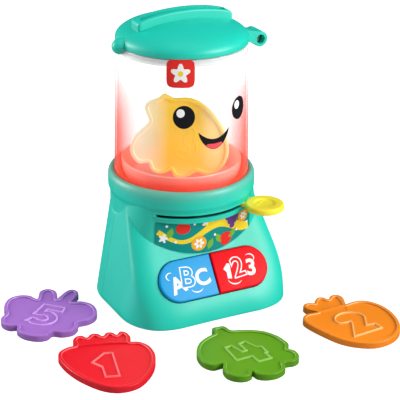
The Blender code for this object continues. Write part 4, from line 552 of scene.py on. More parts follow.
def carved(mesh, tools, operation="DIFFERENCE"):
    """The mesh after a Boolean with all the tools at once."""
    body = bpy.data.objects.new("carving_body", mesh)
    tool = bpy.data.objects.new("carving_tool", merged_mesh("carving_tool", tools))
    for item in (body, tool):
        made = bmesh.new()
        made.from_mesh(item.data)
        bmesh.ops.remove_doubles(made, verts=made.verts, dist=1e-6)
        bmesh.ops.recalc_face_normals(made, faces=made.faces)
        made.to_mesh(item.data)
        made.free()
        bpy.context.scene.collection.objects.link(item)
    modifier = body.modifiers.new("carve", "BOOLEAN")
    modifier.operation = operation
    modifier.solver = "EXACT"
    modifier.use_self = True
    modifier.object = tool
    bpy.context.view_layer.update()
    graph = bpy.context.evaluated_depsgraph_get()
    result = bpy.data.meshes.new_from_object(body.evaluated_get(graph), depsgraph=graph)
    for item in (body, tool):
        bpy.data.objects.remove(item)
    return result


replaced = set()


def fitted(piece, body, slot, *nodes):
    """Puts a piece on its body, in place of the CAD nodes that it stands for, and hides those nodes; the slot is not
    used.
    """
    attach(piece, body)
    if nodes:
        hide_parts(*nodes)
        replaced.update(nodes)
    return piece


# Housing


def between(low, high, share):
    return low + (high - low) * share


def eased(share):
    """From 0 to 1 with a level start and end."""
    return share * share * (3 - 2 * share)


def rounded_front(angle, half_width, depth, corner):
    """Radius of a rounded rectangle from its middle: on a corner it is the farther crossing with the corner's
    circle, elsewhere the nearer of the side and the front."""
    side = np.maximum(np.abs(np.sin(angle)), 1e-9)
    front = np.maximum(np.cos(angle), 1e-9)
    reach = side * (half_width - corner) + front * (depth - corner)
    inside = reach ** 2 - (half_width - corner) ** 2 - (depth - corner) ** 2 + corner ** 2
    turned = reach + np.sqrt(np.maximum(inside, 0))
    on_corner = (inside >= 0) & (turned * side > half_width - corner) & (turned * front > depth - corner)
    return np.where(on_corner, turned, np.minimum(half_width / side, depth / front))


def apron_radius(angle):
    offset = (APRON_RADIUS - APRON_FRONT) * np.cos(angle)
    return -offset + np.sqrt(offset ** 2 + APRON_RADIUS ** 2 - (APRON_RADIUS - APRON_FRONT) ** 2)


def crease_height(angle):
    crease = PANEL_MARK_Z + (PANEL_FRONT - apron_radius(angle) * np.cos(angle)) / SLOPE
    return np.where(np.cos(angle) > 0, np.minimum(crease, LIP_Z - 2 * WALL), LIP_Z - 2 * WALL)


def skirt_radius(angle, z):
    """The foot: behind, an ellipse; in front, a rounded rectangle cut by the apron and the sloped panel,
    blended where they meet."""
    share = z / WAIST_Z
    half_width = between(FOOT_HALF_WIDTH, WAIST_HALF_WIDTH, share)
    back = between(FOOT_BACK_DEPTH, WAIST_BACK_DEPTH, share)
    depth = between(FOOT_FRONT_DEPTH, WAIST_FRONT_DEPTH, share)
    corner = np.minimum(between(FOOT_CORNER_RADIUS, WAIST_CORNER_RADIUS, share), np.minimum(half_width, depth) - GAP)
    front = np.cos(angle)
    behind = half_width * back / np.hypot(back * np.sin(angle), half_width * front)
    panel = (PANEL_FRONT - SLOPE * (z - PANEL_MARK_Z)) / np.maximum(front, 1e-3)
    face = np.maximum(apron_radius(angle), panel)
    block = rounded_front(angle, half_width, depth, corner)
    near = np.maximum(BLEND - np.abs(block - face), 0) / BLEND
    ahead = np.minimum(block, face) - near ** 2 * BLEND / 4
    return np.where(front <= 0, behind, ahead)


def body_radius(angle, z):
    apron = np.where(np.cos(angle) > 0, apron_radius(angle), DRUM_RADIUS)
    radius = np.maximum(skirt_radius(angle, z), np.minimum(apron, DRUM_RADIUS))
    return np.where(np.abs(radius - DRUM_RADIUS) < GAP, DRUM_RADIUS, radius)


def inner_radius(angle, z, step):
    """The body's radius less one wall, measured square to the surface."""
    radius = body_radius(angle, z)
    along = (body_radius(angle, z + step) - radius) / step
    turn = WALL / radius / 4
    around = (body_radius(angle + turn, z) - body_radius(angle - turn, z)) / (2 * turn * radius)
    return radius - WALL * np.minimum(np.sqrt(1 + along ** 2 + around ** 2), 2)


def shell_points():
    """Upright columns at every angle: up the outside to the collar, and down the inside to the floor."""
    angle = np.linspace(-math.pi, math.pi, SHELL_STEPS, endpoint=False)
    crease = crease_height(angle)
    level = np.ones_like(angle)
    rows = []
    for share, inset in zip(np.linspace(0, 1, 5), 1 - np.sin(np.linspace(0, math.pi / 2, 5))):
        z = level * FOOT_ROUND * share
        rows.append((body_radius(angle, z) - FOOT_ROUND * inset, z))
    for low, high, steps in ((FOOT_ROUND, crease, 26), (crease, LIP_Z, 10)):
        for share in np.linspace(0, 1, steps + 1)[1:]:
            z = between(low, high, share)
            rows.append((body_radius(angle, z), z))
    lip = np.clip((DRUM_RADIUS - rows[-1][0]) / 2, 0, LIP_ROUND)
    drum = [
        (DRUM_RADIUS - lip * (1 - math.sin(turn)), LIP_Z + LIP_ROUND * (1 - math.cos(turn)))
        for turn in np.linspace(0.2, math.pi / 2, 4)
    ]
    flare_z = SLOT_HIGH_Z + LIP_ROUND
    drum += [(DRUM_RADIUS, z) for z in np.linspace(LIP_Z + LIP_ROUND * 2, flare_z, 7)]
    for share in np.linspace(0, 1, 9)[1:]:
        drum.append((between(DRUM_RADIUS, COLLAR_RADIUS, eased(share)), between(flare_z, COLLAR_LOW_Z, share)))
    drum += [(COLLAR_RADIUS, z) for z in np.linspace(COLLAR_LOW_Z, COLLAR_HIGH_Z, 5)[1:-1]]
    crest = COLLAR_RADIUS - COLLAR_ROUND
    drum += arc((crest, COLLAR_HIGH_Z), (COLLAR_ROUND, COLLAR_TOP_Z - COLLAR_HIGH_Z), 0, 90, 10)
    dip, dip_width = 0.0012, 0.002
    drum += arc((crest, COLLAR_TOP_Z - dip), (-dip_width, dip), 90, 0, 5)[1:]
    for radius, z in drum:
        lowest = skirt_radius(angle, level * z) if z < COLLAR_LOW_Z else 0.0
        rows.append((np.maximum(radius * level, lowest), level * z))
    ledge = np.minimum(inner_radius(angle, level * (LIP_Z - WALL), WALL / 10), DRUM_BORE - 0.002)
    for radius, z in (
        (COLLAR_BORE, GROOVE_TOP_Z), (GROOVE_RADIUS, GROOVE_TOP_Z), (GROOVE_RADIUS, JAR_SEAT_Z),
        (DRUM_BORE, JAR_SEAT_Z), (DRUM_BORE, LIP_FLOOR_Z), (ledge, LIP_FLOOR_Z),
    ):
        rows.append((radius * level, z * level))
    under_ledge = np.minimum(inner_radius(angle, level * (LIP_Z - 2 * WALL), WALL / 10), DRUM_BORE)
    rows.append((under_ledge, level * (LIP_Z - WALL)))
    low_crease = crease - WALL * (1 / math.cos(PANEL_SLOPE_ANGLE) - 1) / SLOPE
    for share in np.linspace(1, 0, 12):
        z = low_crease * share
        rows.append((inner_radius(angle, z, -WALL / 10), z))
    radius, height = (np.stack(values) for values in zip(*rows))
    return polar(radius, angle, height)


def panel_matrix():
    """A frame on the sloped panel: Z points out of it, Y runs up the slope."""
    depth = PANEL_FRONT - SLOPE * (BUTTONS_CENTRE_Z - PANEL_MARK_Z)
    return Matrix.Translation((0, -depth, BUTTONS_CENTRE_Z)) @ Matrix.Rotation(math.pi / 2 - PANEL_SLOPE_ANGLE, 4, "X")


def capsule(inset, steps=32):
    """Outline of the buttons' opening: two half circles joined by straights."""
    radius = BUTTONS_HALF_HEIGHT + BUTTON_SIDE_GAP - inset
    centre = BUTTONS_HALF_LENGTH - BUTTONS_HALF_HEIGHT
    turn = np.linspace(-math.pi / 2, math.pi / 2, steps + 1)
    x = np.concatenate([centre + radius * np.cos(turn), -centre - radius * np.cos(turn)])
    return x, np.concatenate([radius * np.sin(turn), -radius * np.sin(turn)])


def slot_tool():
    """The ring sector that the lever's slot takes out of the drum."""
    turn = np.linspace(-SLOT_HALF_ANGLE, SLOT_HALF_ANGLE, 61)
    inner, outer = DRUM_BORE - 0.002, DRUM_RADIUS + 0.002
    corners = ((inner, SLOT_LOW_Z), (outer, SLOT_LOW_Z), (outer, SLOT_HIGH_Z), (inner, SLOT_HIGH_Z))
    return capped_mesh("slot_tool", np.stack([polar(radius, turn, z) for radius, z in corners], axis=1))


def half_shell(front):
    """One of the two shells, cut at the parting plane and opened by its own holes."""
    reach, window_floor_y, well_floor_y, outside_y = 0.25, 0.05, 0.03, 0.08
    shell = sheet_mesh("shell", shell_points(), wrap_rows=True, wrap_columns=True)
    if front:
        tools = [box_mesh("parting", (-reach, PARTING_Y - GAP / 2, -0.01), (reach, reach, reach)), slot_tool()]
        opening = capped_mesh("opening", prism_points(capsule, [(-WALL * 2.6, 0), (0.004, 0)]))
        tools.append(placed(opening, panel_matrix()))
        return carved(shell, tools)
    tools = [box_mesh("parting", (-reach, -reach, -0.01), (reach, PARTING_Y + GAP / 2, reach))]
    for x, z in SCREW_PLACES:
        tools.append(placed(rod_mesh("well", WELL_RADIUS, well_floor_y, outside_y), along_y(x, z)))
    places = [(0.0, SPEAKER_Z)]
    for ring in (1, 2):
        for turn in np.linspace(0, math.tau, 6 * ring, endpoint=False):
            places.append((GRILLE_PITCH * ring * math.cos(turn), SPEAKER_Z + GRILLE_PITCH * ring * math.sin(turn)))
    for x, z in places:
        hole = rod_mesh("grille", GRILLE_HOLE_RADIUS, SPEAKER_SEAT_Y - 0.002, outside_y, 24)
        tools.append(placed(hole, along_y(x, z)))
    low = (-KNOB_HALF_SPAN, window_floor_y, KNOB_Z - KNOB_HALF_HEIGHT)
    tools.append(box_mesh("window", low, (KNOB_HALF_SPAN, outside_y, KNOB_Z + KNOB_HALF_HEIGHT)))
    return carved(shell, tools)


def housings():
    """Both shells, and the fine rim round the lever's slot."""
    for name, front in (("front_housing", True), ("rear_housing", False)):
        piece = finished("shown_" + name, half_shell(front), finishes["teal_plastic"], math.radians(38))
        fitted(piece, "root", "teal_plastic", name)
    reach = DRUM_RADIUS * SLOT_HALF_ANGLE
    middle, half = (SLOT_LOW_Z + SLOT_HIGH_Z) / 2, (SLOT_HIGH_Z - SLOT_LOW_Z) / 2
    shares = np.linspace(-1, 1, 60)[1:-1]
    loop = arc((reach, middle), (half, half), -90, 90, 10)
    loop += [(-share * reach, middle + half) for share in shares]
    loop += arc((-reach, middle), (half, half), 90, 270, 10)
    loop += [(share * reach, middle - half) for share in shares]
    rim = raised_line(on_drum, np.array(loop), half_width=0.0007, height=0.0006)
    fitted(finished("slot_frame", rim, finishes["teal_plastic"]), "root", "teal_plastic")


# Buttons, with plain letters and digits


def half_capsule(side, steps=40):
    """Outline of one button as a function of its inset: square at the split, round at the outer end."""
    def outline(inset):
        radius = BUTTONS_HALF_HEIGHT - inset
        centre = BUTTONS_HALF_LENGTH - BUTTONS_HALF_HEIGHT
        start = BUTTON_SPLIT_GAP / 2 + inset
        turn = np.linspace(-math.pi / 2, math.pi / 2, steps + 1)
        x = np.concatenate([[start], centre + radius * np.cos(turn), [start]])
        y = np.concatenate([[-radius], radius * np.sin(turn), [radius]])
        return side * x, y
    return outline


def flat_mesh(curve):
    """A filled curve as a mesh in its own XY plane, middle at the origin."""
    curve.extrude = PRINT_THICKNESS / 2
    item = bpy.data.objects.new("flat", curve)
    bpy.context.scene.collection.objects.link(item)
    graph = bpy.context.evaluated_depsgraph_get()
    mesh = bpy.data.meshes.new_from_object(item.evaluated_get(graph), depsgraph=graph)
    bpy.data.objects.remove(item)
    places = np.empty(len(mesh.vertices) * 3, np.float32)
    mesh.vertices.foreach_get("co", places)
    places = places.reshape(-1, 3)
    middle = (places.max(axis=0) + places.min(axis=0)) / 2
    mesh.transform(Matrix.Translation((-middle[0], -middle[1], 0)))
    return mesh


def letter_mesh(letter, size, offset):
    """One letter; the 1 is drawn with a flag, the others come from Blender's own font."""
    if letter == "1":
        curve = bpy.data.curves.new("digit", "CURVE")
        curve.dimensions = "2D"
        curve.fill_mode = "BOTH"
        outline = digit_outline("1") * size * 0.76
        spline = curve.splines.new("POLY")
        spline.points.add(len(outline) - 1)
        for point, (x, y) in zip(spline.points, outline):
            point.co = (x, y, 0, 1)
        spline.use_cyclic_u = True
        return flat_mesh(curve)
    curve = bpy.data.curves.new("letter", "FONT")
    curve.body = letter
    curve.size = size
    curve.offset = offset
    curve.resolution_u = 8
    return flat_mesh(curve)


def on_button(across, along, lift):
    """A point of a print on a button's flat face, in the panel's frame."""
    return np.stack([across, along, np.full_like(across, BUTTON_RISE) + lift], axis=-1)


def swoosh(centre, radius, first, last):
    """A curved stroke that thins out to both ends."""
    points = np.array(arc(centre, (radius, radius * 0.8), first, last, 20))
    width = 0.0005 * np.sin(np.linspace(0, math.pi, 21)) + 0.00005
    return band(on_button, points[:, 0], points[:, 1], width)


BUTTON_LETTERS = {
    "blue": [
        ("A", -0.0355, -0.0030, 0.0190, 10), ("B", -0.0250, 0.0018, 0.0235, -6), ("C", -0.0120, -0.0008, 0.0190, 8),
    ],
    "red": [
        ("1", 0.0120, -0.0004, 0.0185, -8), ("2", 0.0225, 0.0014, 0.0235, 5), ("3", 0.0345, -0.0012, 0.0190, -6),
    ],
}
BUTTON_SWOOSHES = {
    "blue": [((-0.0400, 0.0050), 0.0040, 60, 250), ((-0.0190, -0.0075), 0.0060, 200, 330)],
    "red": [((0.0350, 0.0065), 0.0045, -60, 130), ((0.0175, -0.0070), 0.0070, 190, 320)],
}


def buttons():
    """Each button's cap, its letters, and the coloured cores of the outlined ones."""
    for colour, side in (("blue", -1), ("red", 1)):
        levels = [(-WALL - GAP - 0.0015, 0.0)] + round_edge(BUTTON_RISE, BUTTON_ROUND, 8)
        points = prism_points(half_capsule(side), levels)
        body, slot = colour + "_button_body", colour + "_plastic"
        cap = placed(capped_mesh("button", points), panel_matrix())
        fitted(finished("shown_button_" + colour, cap, finishes[slot]), body, slot, "button_" + colour)
        letters, inlays = [], []
        for letter, x, y, size, lean in BUTTON_LETTERS[colour]:
            place = panel_matrix() @ Matrix.Translation((x, y, BUTTON_RISE + PRINT_LIFT / 2))
            place = place @ Matrix.Rotation(math.radians(lean), 4, "Z")
            outlined = letter in "B2"
            letters.append(placed(letter_mesh(letter, size, 0.0011 if outlined else 0.0006), place))
            if outlined:
                above = place @ Matrix.Translation((0, 0, PRINT_THICKNESS))
                inlays.append(placed(letter_mesh(letter, size, 0.0001), above))
        letters += [placed(swoosh(*stroke), panel_matrix()) for stroke in BUTTON_SWOOSHES[colour]]
        for name, meshes, finish in (("letters_", letters, inks["white"]), ("inlay_", inlays, finishes[slot])):
            fitted(finished(name + colour, merged_mesh(name + colour, meshes), finish), body, slot)


# Lever


def tooth_outline(teeth, module, first_tooth, last_tooth):
    """The ring's bore in polar steps: straight-flanked inward teeth over one sector, and a plain arc."""
    play = 0.00025
    pitch = module * teeth / 2
    half = math.pi * module / 4 - play
    tip, root = pitch - module, pitch + 1.25 * module
    lean = math.tan(math.radians(20))
    tip_half = (half - module * lean) / tip
    root_half = (half + 1.25 * module * lean) / root
    radius, turn = [], []
    for tooth in range(first_tooth, last_tooth + 1):
        centre = math.pi / 2 + tooth * math.tau / teeth
        radius += [root, tip, tip, root]
        turn += [centre - root_half, centre - tip_half, centre + tip_half, centre + root_half]
    first = math.pi / 2 + (last_tooth + 1) * math.tau / teeth
    last = math.pi / 2 + (first_tooth - 1) * math.tau / teeth + math.tau
    radius += [root] * 60
    turn += list(np.linspace(first, last, 60))
    return np.array(radius), np.array(turn)


def lever():
    """The toothed ring, its neck through the slot and the dimpled paddle, as one piece."""
    ring = rod_mesh("ring", LEVER_RING_RADIUS, LEVER_LOW_Z, LEVER_HIGH_Z, TURN_STEPS)
    radius, turn = tooth_outline(teeth=64, module=0.0015, first_tooth=-4, last_tooth=17)
    teeth = (radius * np.cos(turn), radius * np.sin(turn))
    bore = prism_points(lambda inset: teeth, [(LEVER_LOW_Z - 0.002, 0), (LEVER_HIGH_Z + 0.002, 0)])
    edge = 0.0017
    high = LEVER_PADDLE_TOP_Z
    low = high - LEVER_PADDLE_THICKNESS
    outer = LEVER_PADDLE_RADIUS - edge
    bed = LEVER_DIMPLE_RADIUS * 0.84
    floor = high - LEVER_DIMPLE_DEPTH
    profile = [(0.0, floor)]
    for share in np.linspace(0, 1, 9):
        profile.append((between(bed, LEVER_DIMPLE_RADIUS, share), floor + LEVER_DIMPLE_DEPTH * eased(share)))
    profile += arc((outer, high - edge), (edge, edge), 90, 0, 8) + arc((outer, low + edge), (edge, edge), 0, -90, 8)
    profile.append((0.0, low))
    turned = Matrix.Rotation(LEVER_REST_ANGLE - math.pi / 2, 4, "Z")
    paddle = placed(lathe_mesh("paddle", profile, 96), turned @ Matrix.Translation((LEVER_PADDLE_REACH, 0, 0)))
    neck = box_mesh(
        "neck", (LEVER_RING_RADIUS - 0.003, -LEVER_NECK_HALF_WIDTH, LEVER_LOW_Z + 0.0001),
        (LEVER_PADDLE_REACH - 0.004, LEVER_NECK_HALF_WIDTH, LEVER_HIGH_Z - 0.0001),
    )
    mesh = carved(ring, [placed(neck, turned), paddle], "UNION")
    mesh = carved(mesh, [capped_mesh("bore", bore)])
    fitted(finished("shown_lever", mesh, finishes["yellow_plastic"]), "lever_body", "yellow_plastic", "lever")


# Jar and dish


def jar_radius(z):
    """Outer radius of the jar: upright in the collar, then a straight taper to the mouth."""
    share = np.clip((z - COLLAR_TOP_Z) / (JAR_TOP_Z - COLLAR_TOP_Z), 0, 1)
    return between(JAR_FOOT_RADIUS, JAR_MOUTH_RADIUS, share)


def jar():
    """The open jar: foot flange, tapered wall and rounded rim as one turned section."""
    flange = JAR_FOOT_Z + JAR_FLANGE_THICKNESS
    rim = JAR_WALL / 2
    profile = [(JAR_FOOT_RADIUS - JAR_WALL, JAR_FOOT_Z), (JAR_FLANGE_RADIUS, JAR_FOOT_Z), (JAR_FLANGE_RADIUS, flange)]
    profile += [(JAR_FOOT_RADIUS, flange)]
    profile += [(jar_radius(z), z) for z in np.linspace(COLLAR_TOP_Z, JAR_TOP_Z - rim, 10)]
    profile += arc((JAR_MOUTH_RADIUS - rim, JAR_TOP_Z - rim), (rim, rim), 0, 180, 10)[1:]
    profile += [(jar_radius(z) - JAR_WALL, z) for z in np.linspace(JAR_TOP_Z - rim, COLLAR_TOP_Z, 10)[1:]]
    piece = finished("shown_jar", lathe_mesh("jar", profile, closed=True), finishes["clear_plastic"])
    fitted(piece, "root", "clear_plastic", "jar")


def dish():
    """A shallow bowl on a hub and shaft; its wall swings up in a quarter ellipse to a rolled lip."""
    floor_under = DISH_FLOOR_Z - DISH_WALL
    height = DISH_RIM_Z - DISH_FLOOR_Z
    reach = DISH_RIM_RADIUS - DISH_FLOOR_RADIUS
    lip = DISH_WALL / 2
    profile = [(0.0, 0.0869), (0.0044, 0.0869), (0.0044, 0.0996), (0.0075, 0.0996), (0.0075, floor_under)]
    outer = arc((DISH_FLOOR_RADIUS - 0.001, floor_under + height), (reach + 0.001, height), -90, 0, 16)
    profile += outer[:-1] + arc((DISH_RIM_RADIUS - lip, DISH_RIM_Z - lip), (lip, lip), 0, 180, 8)
    inner = arc((DISH_FLOOR_RADIUS - 0.001 - DISH_WALL, DISH_FLOOR_Z + height), (reach + 0.001, height), -8, -90, 16)
    profile += inner + [(DISH_FLOOR_RADIUS * 0.6, DISH_FLOOR_Z), (0.0, DISH_FLOOR_Z)]
    piece = finished("shown_turntable", lathe_mesh("dish", profile), finishes["glowing_red_plastic"])
    fitted(piece, "dish_body", "glowing_red_plastic", "turntable")


# Prints: flat shapes laid on a curved wall


def on_jar(across, z, lift):
    """A point of a flat print, across in metres of arc from the front, laid on the jar."""
    return polar(jar_radius(z) + lift, across / JAR_FOOT_RADIUS, z)


def on_apron(across, z, lift):
    """The same on the upright apron over the buttons."""
    middle = (0, APRON_RADIUS - APRON_FRONT, 0)
    return polar(APRON_RADIUS + 0.0006 + lift, across / APRON_RADIUS, z) + middle


def on_drum(across, z, lift):
    """The same on the drum under the collar."""
    return polar(DRUM_RADIUS + lift, across / DRUM_RADIUS, z)


def on_disc(across, along, lift):
    """The same on the recessed face of a disc."""
    return np.stack([across, along, np.full_like(across, DISC_THICKNESS - DISC_RECESS) + lift], axis=-1)


def corner_offset(points, closed):
    """How far each point moves, square to its line, for an offset of one; longer at a corner."""
    before, after = np.roll(points, 1, axis=0), np.roll(points, -1, axis=0)
    if not closed:
        before[0] = 2 * points[0] - points[1]
        after[-1] = 2 * points[-1] - points[-2]
    sides = []
    for step in (points - before, after - points):
        step = step / np.linalg.norm(step, axis=1, keepdims=True)
        sides.append(np.stack([step[:, 1], -step[:, 0]], axis=1))
    opening = 1 + (sides[0] * sides[1]).sum(axis=1, keepdims=True)
    return (sides[0] + sides[1]) / np.maximum(opening, 0.25)


def ridge_rows(wall, points, offset, half, top=()):
    """The rows of a ridge along a line: half of its section as (side, lift) from the foot up, mirrored."""
    section = [(-side, lift) for side, lift in half] + list(top) + list(half[::-1])
    rows = []
    for side, lift in section:
        place = points + offset * side
        rows.append(wall(place[:, 0], place[:, 1], np.full(len(place), lift)))
    return np.stack(rows)


def raised_line(wall, points, half_width, height):
    """A rounded ridge along a closed line on a wall."""
    half = ((1, -SINK), (0.92, height * 0.55), (0.6, height * 0.93))
    rows = ridge_rows(wall, points, corner_offset(points, True) * half_width, half, [(0, height)])
    return sheet_mesh("raised_line", rows, wrap_rows=True, wrap_columns=True)


def patch(wall, across, z, layer=1):
    """A thin closed print over a grid of flat places."""
    lift = PRINT_LIFT * layer
    outside = wall(across, z, lift)
    inside = wall(across, z, lift - PRINT_THICKNESS)
    rows, columns = across.shape
    front = grid_faces(rows, columns, False, False)
    back = front[:, ::-1] + rows * columns
    index = np.arange(rows * columns).reshape(rows, columns)
    border = np.concatenate([index[0], index[1:, -1], index[-1, -2::-1], index[-2:0:-1, 0]])
    onward = np.roll(border, -1)
    sides = np.stack([border, border + rows * columns, onward + rows * columns, onward], axis=1)
    mesh = bpy.data.meshes.new("patch")
    places = np.concatenate([outside.reshape(-1, 3), inside.reshape(-1, 3)])
    mesh.from_pydata(places.tolist(), [], np.concatenate([front, back, sides]).tolist())
    return mesh


def blob(wall, centre, radii, layer=1, wave=0.0, waves=0, lean=0.0, power=2.0):
    """A round print: radius times 1 + wave cos(waves t); power over 2 squares it up; lean turns it."""
    share = np.linspace(0, 1, 9)[:, None]
    turn = np.linspace(0, math.tau, 72, endpoint=False)[None, :]
    cosine, sine = np.cos(turn), np.sin(turn)
    square = (np.abs(cosine) ** power + np.abs(sine) ** power) ** (-1 / power)
    reach = share * square * (1 + wave * np.cos(waves * turn))
    x, y = radii[0] * reach * cosine, radii[1] * reach * sine
    across = centre[0] + x * math.cos(lean) - y * math.sin(lean)
    z = centre[1] + x * math.sin(lean) + y * math.cos(lean)
    lift = PRINT_LIFT * layer
    points = np.concatenate([wall(across, z, lift), wall(across, z, lift - PRINT_THICKNESS)[::-1]])
    return sheet_mesh("blob", points, wrap_columns=True)


def band(wall, across, z, half_width, layer=1):
    """A printed stroke along a line, as wide as half_width says on either side, square to the line."""
    slope_x, slope_z = np.gradient(across), np.gradient(z)
    length = np.hypot(slope_x, slope_z)
    side = np.linspace(-1, 1, 5)[:, None]
    x = across - side * half_width * slope_z / length
    y = z + side * half_width * slope_x / length
    return patch(wall, x, y, layer)


def leaf(wall, centre, length, half_width, lean, layer=1):
    """A pointed print: half width times sin(pi t) along its length."""
    share = np.linspace(0, 1, 25)
    line = (share - 0.5) * length
    across = centre[0] + line * math.cos(lean)
    z = centre[1] + line * math.sin(lean)
    return band(wall, across, z, half_width * np.sin(math.pi * share) + 1e-6, layer)


def print_piece(name, meshes, ink, slot):
    """All the prints of one ink in one place, as one piece."""
    piece = finished(name, merged_mesh(name, meshes), inks[ink])
    return fitted(piece, "root", slot)


def face_print():
    """A plain smiling face: two oval eyes with a light spot, and a half-moon mouth with a tongue."""
    eyes_middle, eye_z, eye_reach = 0.0024, 0.1762, 0.0272
    mouth_middle, mouth_z, mouth_half_width, mouth_lift, mouth_depth = 0.0020, 0.1556, 0.0147, 0.0072, 0.0088
    tongue_share, tongue_height = 0.52, 0.0042
    spots, dark = [], []
    for side in (-1, 1):
        middle = side * eye_reach + eyes_middle
        dark.append(blob(on_jar, (middle, eye_z), (0.0092, 0.0098)))
        spots.append(blob(on_jar, (middle - 0.0028, eye_z + 0.0034), (0.0034, 0.0036), 2))

    def mouth(across):
        """The mouth's upper and lower edge at shares of its half width."""
        lip = mouth_z + mouth_lift * across ** 2
        return lip, lip - mouth_depth * np.sqrt(np.maximum(1 - across ** 2, 0))

    share = np.linspace(0, 1, 9)[:, None]
    wide = np.linspace(-1, 1, 49)[None, :]
    lip, floor = mouth(wide)
    dark.append(patch(on_jar, mouth_middle + mouth_half_width * wide + 0 * share, between(lip, floor, share)))
    print_piece("face_print", dark, "black", "clear_plastic")
    print_piece("face_light_spots", spots, "white", "clear_plastic")
    narrow = np.linspace(-tongue_share, tongue_share, 33)[None, :]
    low = mouth(narrow)[1] + 0.0005
    top = low + tongue_height * np.sqrt(np.maximum(1 - (narrow / tongue_share) ** 2, 0)) + 1e-5
    tongue = patch(on_jar, mouth_middle + mouth_half_width * narrow + 0 * share, between(low, top, share), 2)
    print_piece("face_tongue", [tongue], "pink", "clear_plastic")


def badge_print():
    """A plain red badge with a five-petalled flower."""
    centre = (-0.0278, 0.2128)
    print_piece("badge_ground", [blob(on_jar, centre, (0.0119, 0.0118), 1, power=5.0)], "red", "clear_plastic")
    flower = [blob(on_jar, centre, (0.0066, 0.0066), 2, wave=0.28, waves=5, lean=math.radians(18))]
    print_piece("badge_flower", flower, "white", "clear_plastic")
    print_piece("badge_flower_heart", [blob(on_jar, centre, (0.0022, 0.0022), 3)], "yellow", "clear_plastic")


LABEL_HALF_WIDTH = 0.0457


def label_ground():
    """The printed sheet: on the apron's arc, from the crease up to the lip."""
    across = np.linspace(-LABEL_HALF_WIDTH, LABEL_HALF_WIDTH, 81)
    share = np.linspace(0, 1, 13)[:, None]
    spread = across / APRON_RADIUS
    depth = APRON_RADIUS * np.cos(spread) - (APRON_RADIUS - APRON_FRONT)
    foot = PANEL_MARK_Z + (PANEL_FRONT - depth) / SLOPE + 0.0009
    z = foot + (LIP_Z - 0.0004 - foot) * share
    mesh = patch(on_apron, np.broadcast_to(across, z.shape), z, 0)
    piece = finished("shown_front_label", mesh, finishes["printed_label"])
    fitted(piece, "root", "printed_label", "front_label")


def label_print():
    """Fruit, leaves and blossoms round a yellow ribbon, all plain shapes."""
    line = np.linspace(-0.0440, 0.0435, 121)
    wave_z = 0.0700 + 0.0062 * np.sin(line * 95 + 0.6) + 0.00012 * (line / 0.01) ** 2
    wave = [band(on_apron, line, wave_z, 0.0030 + 0.0012 * np.sin(line * 60))]
    wave.append(leaf(on_apron, (0.0030, 0.0790), 0.0190, 0.0032, math.radians(8)))
    print_piece("label_yellow", wave, "yellow", "printed_label")
    reds = [blob(on_apron, (-0.0225, 0.0768), (0.0060, 0.0054), 2, 0.05, 2)]
    reds += [blob(on_apron, (0.0175, 0.0606), (0.0064, 0.0060), 2, 0.05, 3, math.radians(30))]
    print_piece("label_red", reds, "red", "printed_label")
    golds, pale = [], []
    for centre, radii, reach in (
        ((-0.0085, 0.0612), (0.0070, 0.0066), 0.0048), ((0.0365, 0.0765), (0.0056, 0.0056), 0.0038),
    ):
        golds.append(blob(on_apron, centre, radii, 2))
        for turn in np.linspace(0, math.tau, 6, endpoint=False):
            place = (centre[0] + reach * 0.62 * math.cos(turn), centre[1] + reach * 0.62 * math.sin(turn))
            pale.append(leaf(on_apron, place, reach * 0.9, reach * 0.26, turn, 3))
    for across, z, size, *petals in (
        (-0.0365, 0.0800, 0.0011), (-0.0290, 0.0650, 0.0012), (0.0065, 0.0665, 0.0011), (0.0290, 0.0655, 0.0011),
        (-0.0125, 0.0795, 0.0011), (0.0415, 0.0690, 0.0010), (-0.0395, 0.0690, 0.0032, 0.35, 5),
        (-0.0030, 0.0800, 0.0026, 0.35, 5, 0.4),
    ):
        pale.append(blob(on_apron, (across, z), (size, size), 2, *petals))
    print_piece("label_gold", golds, "gold", "printed_label")
    print_piece("label_white", pale, "white", "printed_label")
    berries = []
    for row, count in enumerate((3, 2, 1)):
        for index in range(count):
            place = (0.0240 + (index - (count - 1) / 2) * 0.0046, 0.0790 - row * 0.0040)
            berries.append(blob(on_apron, place, (0.0027, 0.0026), 2))
    print_piece("label_purple", berries, "purple", "printed_label")
    leaves = [leaf(on_apron, (-0.0180, 0.0818), 0.0070, 0.0016, math.radians(20), 2)]
    for x, z, lean in (
        (-0.0335, 0.0735, 70), (0.0100, 0.0625, 120), (0.0245, 0.0640, 40), (0.0435, 0.0800, 110), (0.0020, 0.0590, 65),
    ):
        leaves.append(leaf(on_apron, (x, z), 0.0105, 0.0027, math.radians(lean), 2))
    print_piece("label_green", leaves, "green", "printed_label")


# Lid


def dome_height(reach):
    return DOME_Z + LID_DOME_HEIGHT * np.sqrt(1 - np.minimum(reach / LID_RADIUS, 1) ** 2)


def lid_dome():
    """Dome, rounded edge, plug ring and the dome's inside as one turned profile."""
    profile = arc((0.0, DOME_Z), (LID_RADIUS, LID_DOME_HEIGHT), 90, 0, 28)
    edge = 0.0008
    profile += arc((LID_RADIUS - edge, LID_Z + edge), (edge, edge), 0, -90, 5)
    plug_z, chamfer, bore = LID_Z - PLUG_DEPTH, 0.0005, PLUG_RADIUS - PLUG_WALL
    profile += [(PLUG_RADIUS, LID_Z), (PLUG_RADIUS, plug_z + chamfer), (PLUG_RADIUS - chamfer, plug_z), (bore, plug_z)]
    reach = LID_RADIUS - LID_WALL
    start = math.degrees(math.acos(bore / reach))
    profile += arc((0.0, DOME_Z), (reach, LID_DOME_HEIGHT - LID_WALL), start, 90, 20)
    profile[0] = (0.0, profile[0][1])
    profile[-1] = (0.0, profile[-1][1])
    return lathe_mesh("dome", profile)


